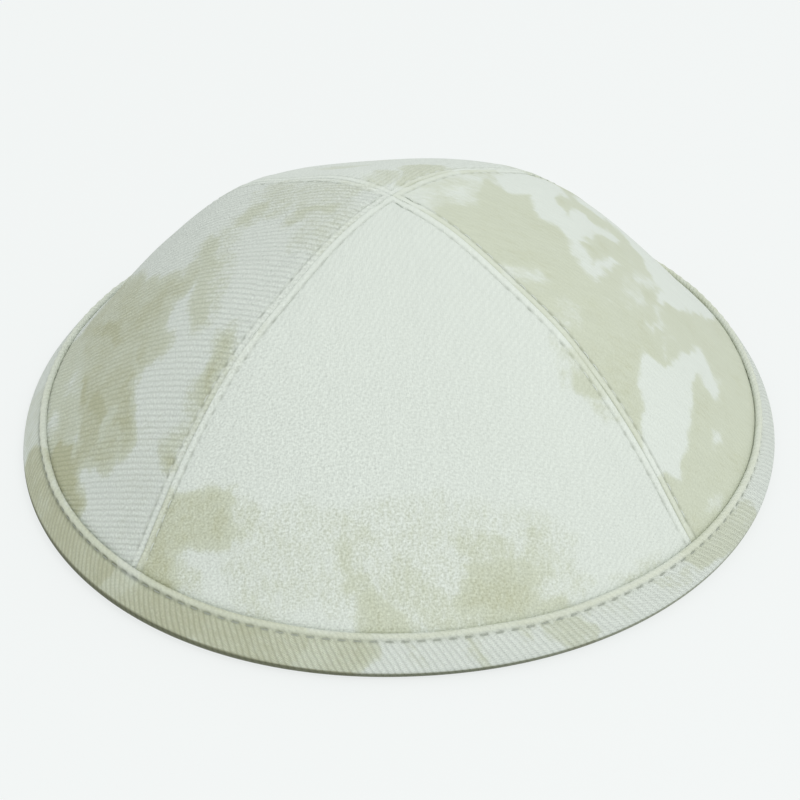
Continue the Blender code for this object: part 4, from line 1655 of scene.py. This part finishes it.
def thread_map(spine, sides, ends):
    """The thread's own map at each corner: its length, and the share of the way round.

    A face on the last side ends at 1, where its points alone would take it back to 0.
    """
    length = np.linalg.norm(np.diff(spine, axis=1), axis=2).cumsum(axis=1)
    length = np.concatenate([np.zeros((len(spine), 1)), length], axis=1)
    u = np.repeat(length[:, :, None], STITCH_SIDES, axis=2)
    v = np.broadcast_to(np.arange(STITCH_SIDES) / STITCH_SIDES, u.shape)
    corner = np.concatenate([sides.ravel(), ends.ravel()])
    flat = np.stack([u.ravel()[corner], v.ravel()[corner]], axis=-1)
    on_last = sides[:, 0] % STITCH_SIDES == STITCH_SIDES - 1
    flat[:sides.size, 1] += np.outer(on_last, [0, 1, 1, 0]).ravel()
    return flat


def thread_tubes(name, spine, normal, painted_shade=0.0):
    """Closed tubes along many short lines at once, as one piece.

    spine and normal are arrays of stitches by rings by 3. Round each point of the spine lies a ring of six
    points, in the plane of the normal and the sideways direction.
    """
    along = np.gradient(spine, axis=1)
    sideways = np.cross(normal, along)
    sideways /= np.linalg.norm(sideways, axis=-1, keepdims=True)
    upward = np.cross(along, sideways)
    upward /= np.linalg.norm(upward, axis=-1, keepdims=True)
    angle = np.arange(STITCH_SIDES) * 2 * math.pi / STITCH_SIDES
    size = THREAD_RADIUS * (1 - STITCH_TAPER * np.abs(stitch_run) ** 5)
    ring = sideways[:, :, None] * np.cos(angle)[:, None] + upward[:, :, None] * np.sin(angle)[:, None]
    points = (spine[:, :, None] + ring * size[None, :, None, None]).reshape(-1, 3)
    sides, ends = thread_faces(len(spine))
    masks = {"painted_shade": np.full(len(points), painted_shade)}
    flat = thread_map(spine, sides, ends)
    piece = new_piece(name, points, sides.tolist() + ends.tolist(), sewing_thread, flat, masks)
    return piece


print("height of a stitch over its row, mm:", np.round(stitch_lift(THREAD_RADIUS) / MM, 2).tolist())

# %% [markdown]
# # Topstitch the seams
#
# A row of stitches runs down each side of each seam, and a lockstitch looks nearly the same from inside. The
# rows follow the crown's formula, so the stitches lie in the dips that the panels' relief made for them.

# %% Sew the seams
WIDEST_INSET = 0.7  # sine of the widest angle that a row may stand off its seam, near the crown's point


def sew_seams():
    """Rows of stitches on both sides of the four seams, outside and inside.

    A stitch's places down the seam are lengths along it, turned into ways by interpolation. Its bearing is
    the seam's less arcsin(inset / radius).
    """
    plain = placed(way[:, 0], -HALF_PANEL + 0 * way[:, 0], 0.0)
    length = np.concatenate([[0], np.cumsum(np.linalg.norm(np.diff(plain, axis=0), axis=1))])
    lip_at = np.interp(1.0, way[:, 0], length)
    start = FIRST_STITCH + STITCH_PITCH * np.arange(int((lip_at - FIRST_STITCH) / STITCH_PITCH))
    share = (1 + stitch_run * STITCH_LENGTH / STITCH_PITCH) / 2
    at = np.interp(start[:, None] + STITCH_PITCH * share, length, way[:, 0])
    off_seam = HALF_PANEL - np.arcsin(np.minimum(STITCH_INSET / (CROWN_FOOT[0] * at), WIDEST_INSET))
    over = DOUBLING_RISE - ROW_DIP + stitch_lift(THREAD_RADIUS)
    under = CLOTH_WALL + SEAM_DOUBLING + DIP_INSIDE * ROW_DIP + stitch_lift(THREAD_RADIUS)
    outside, inside, normals = [], [], []
    for quarter_turns in range(4):
        turn = seam_turn(quarter_turns)
        for hand in (-1, 1):
            points, normal = placed(at, hand * off_seam, turn), outward(at, hand * off_seam, turn)
            outside.append(points + normal * over[:, None])
            inside.append(points - normal * under[:, None])
            normals.append(normal)
    normal = np.concatenate(normals)
    top = thread_tubes("seam_stitches", np.concatenate(outside), normal)
    bottom = thread_tubes("seam_stitches_inside", np.concatenate(inside), -normal)
    return top, bottom


seam_thread = sew_seams()
print("seam thread:", [(piece.name, len(piece.data.polygons)) for piece in seam_thread])

# %% [markdown]
# # Stitch the tape
#
# One row of stitches holds the tape, sunk in the groove under its lip. It takes its place from the tape's
# section and its count from the tape's steps, so each thread lies over its own stretch of groove.

# %% Sew the rim
RIM_THREAD_IN = 0.16 * MM  # how far the row lies inside the tape's face
RIM_THREAD_SHADE = 0.5  # the groove's shade on the thread


def sew_rim():
    """The row of stitches in the tape's groove, and its underside on the inner side of the tape."""
    middle = np.arange(RIM_STITCHES)[:, None] + 0.5
    share = stitch_run / 2 * STITCH_LENGTH / STITCH_PITCH
    heading = TAPE_END_BEARING - 2 * math.pi * (middle + share) / RIM_STITCHES
    lift = stitch_lift(THREAD_RADIUS)
    outer = FOLD + (SIDE_LENGTH - STITCH_DOWN) * SIDE_UP
    outer = outer + (HALF_BINDING - RIM_THREAD_IN + lift)[:, None] * SIDE_OUT
    inner = FOLD + (SIDE_LENGTH - STITCH_DOWN) * SIDE_UP - (HALF_BINDING + lift)[:, None] * SIDE_OUT
    level = SIDE_OUT[0] * np.stack([np.cos(heading), np.sin(heading)], axis=-1)
    out = np.concatenate([level, np.full((*heading.shape, 1), SIDE_OUT[1])], axis=-1)
    top_line = rim_point(outer[:, 0], outer[:, 1], heading)
    bottom_line = rim_point(inner[:, 0], inner[:, 1], heading)
    top = thread_tubes("rim_stitches", top_line, out, RIM_THREAD_SHADE)
    bottom = thread_tubes("rim_stitches_inside", bottom_line, -out)
    return top, bottom


rim_thread = sew_rim()
print("rim thread:", [(piece.name, len(piece.data.polygons)) for piece in rim_thread])
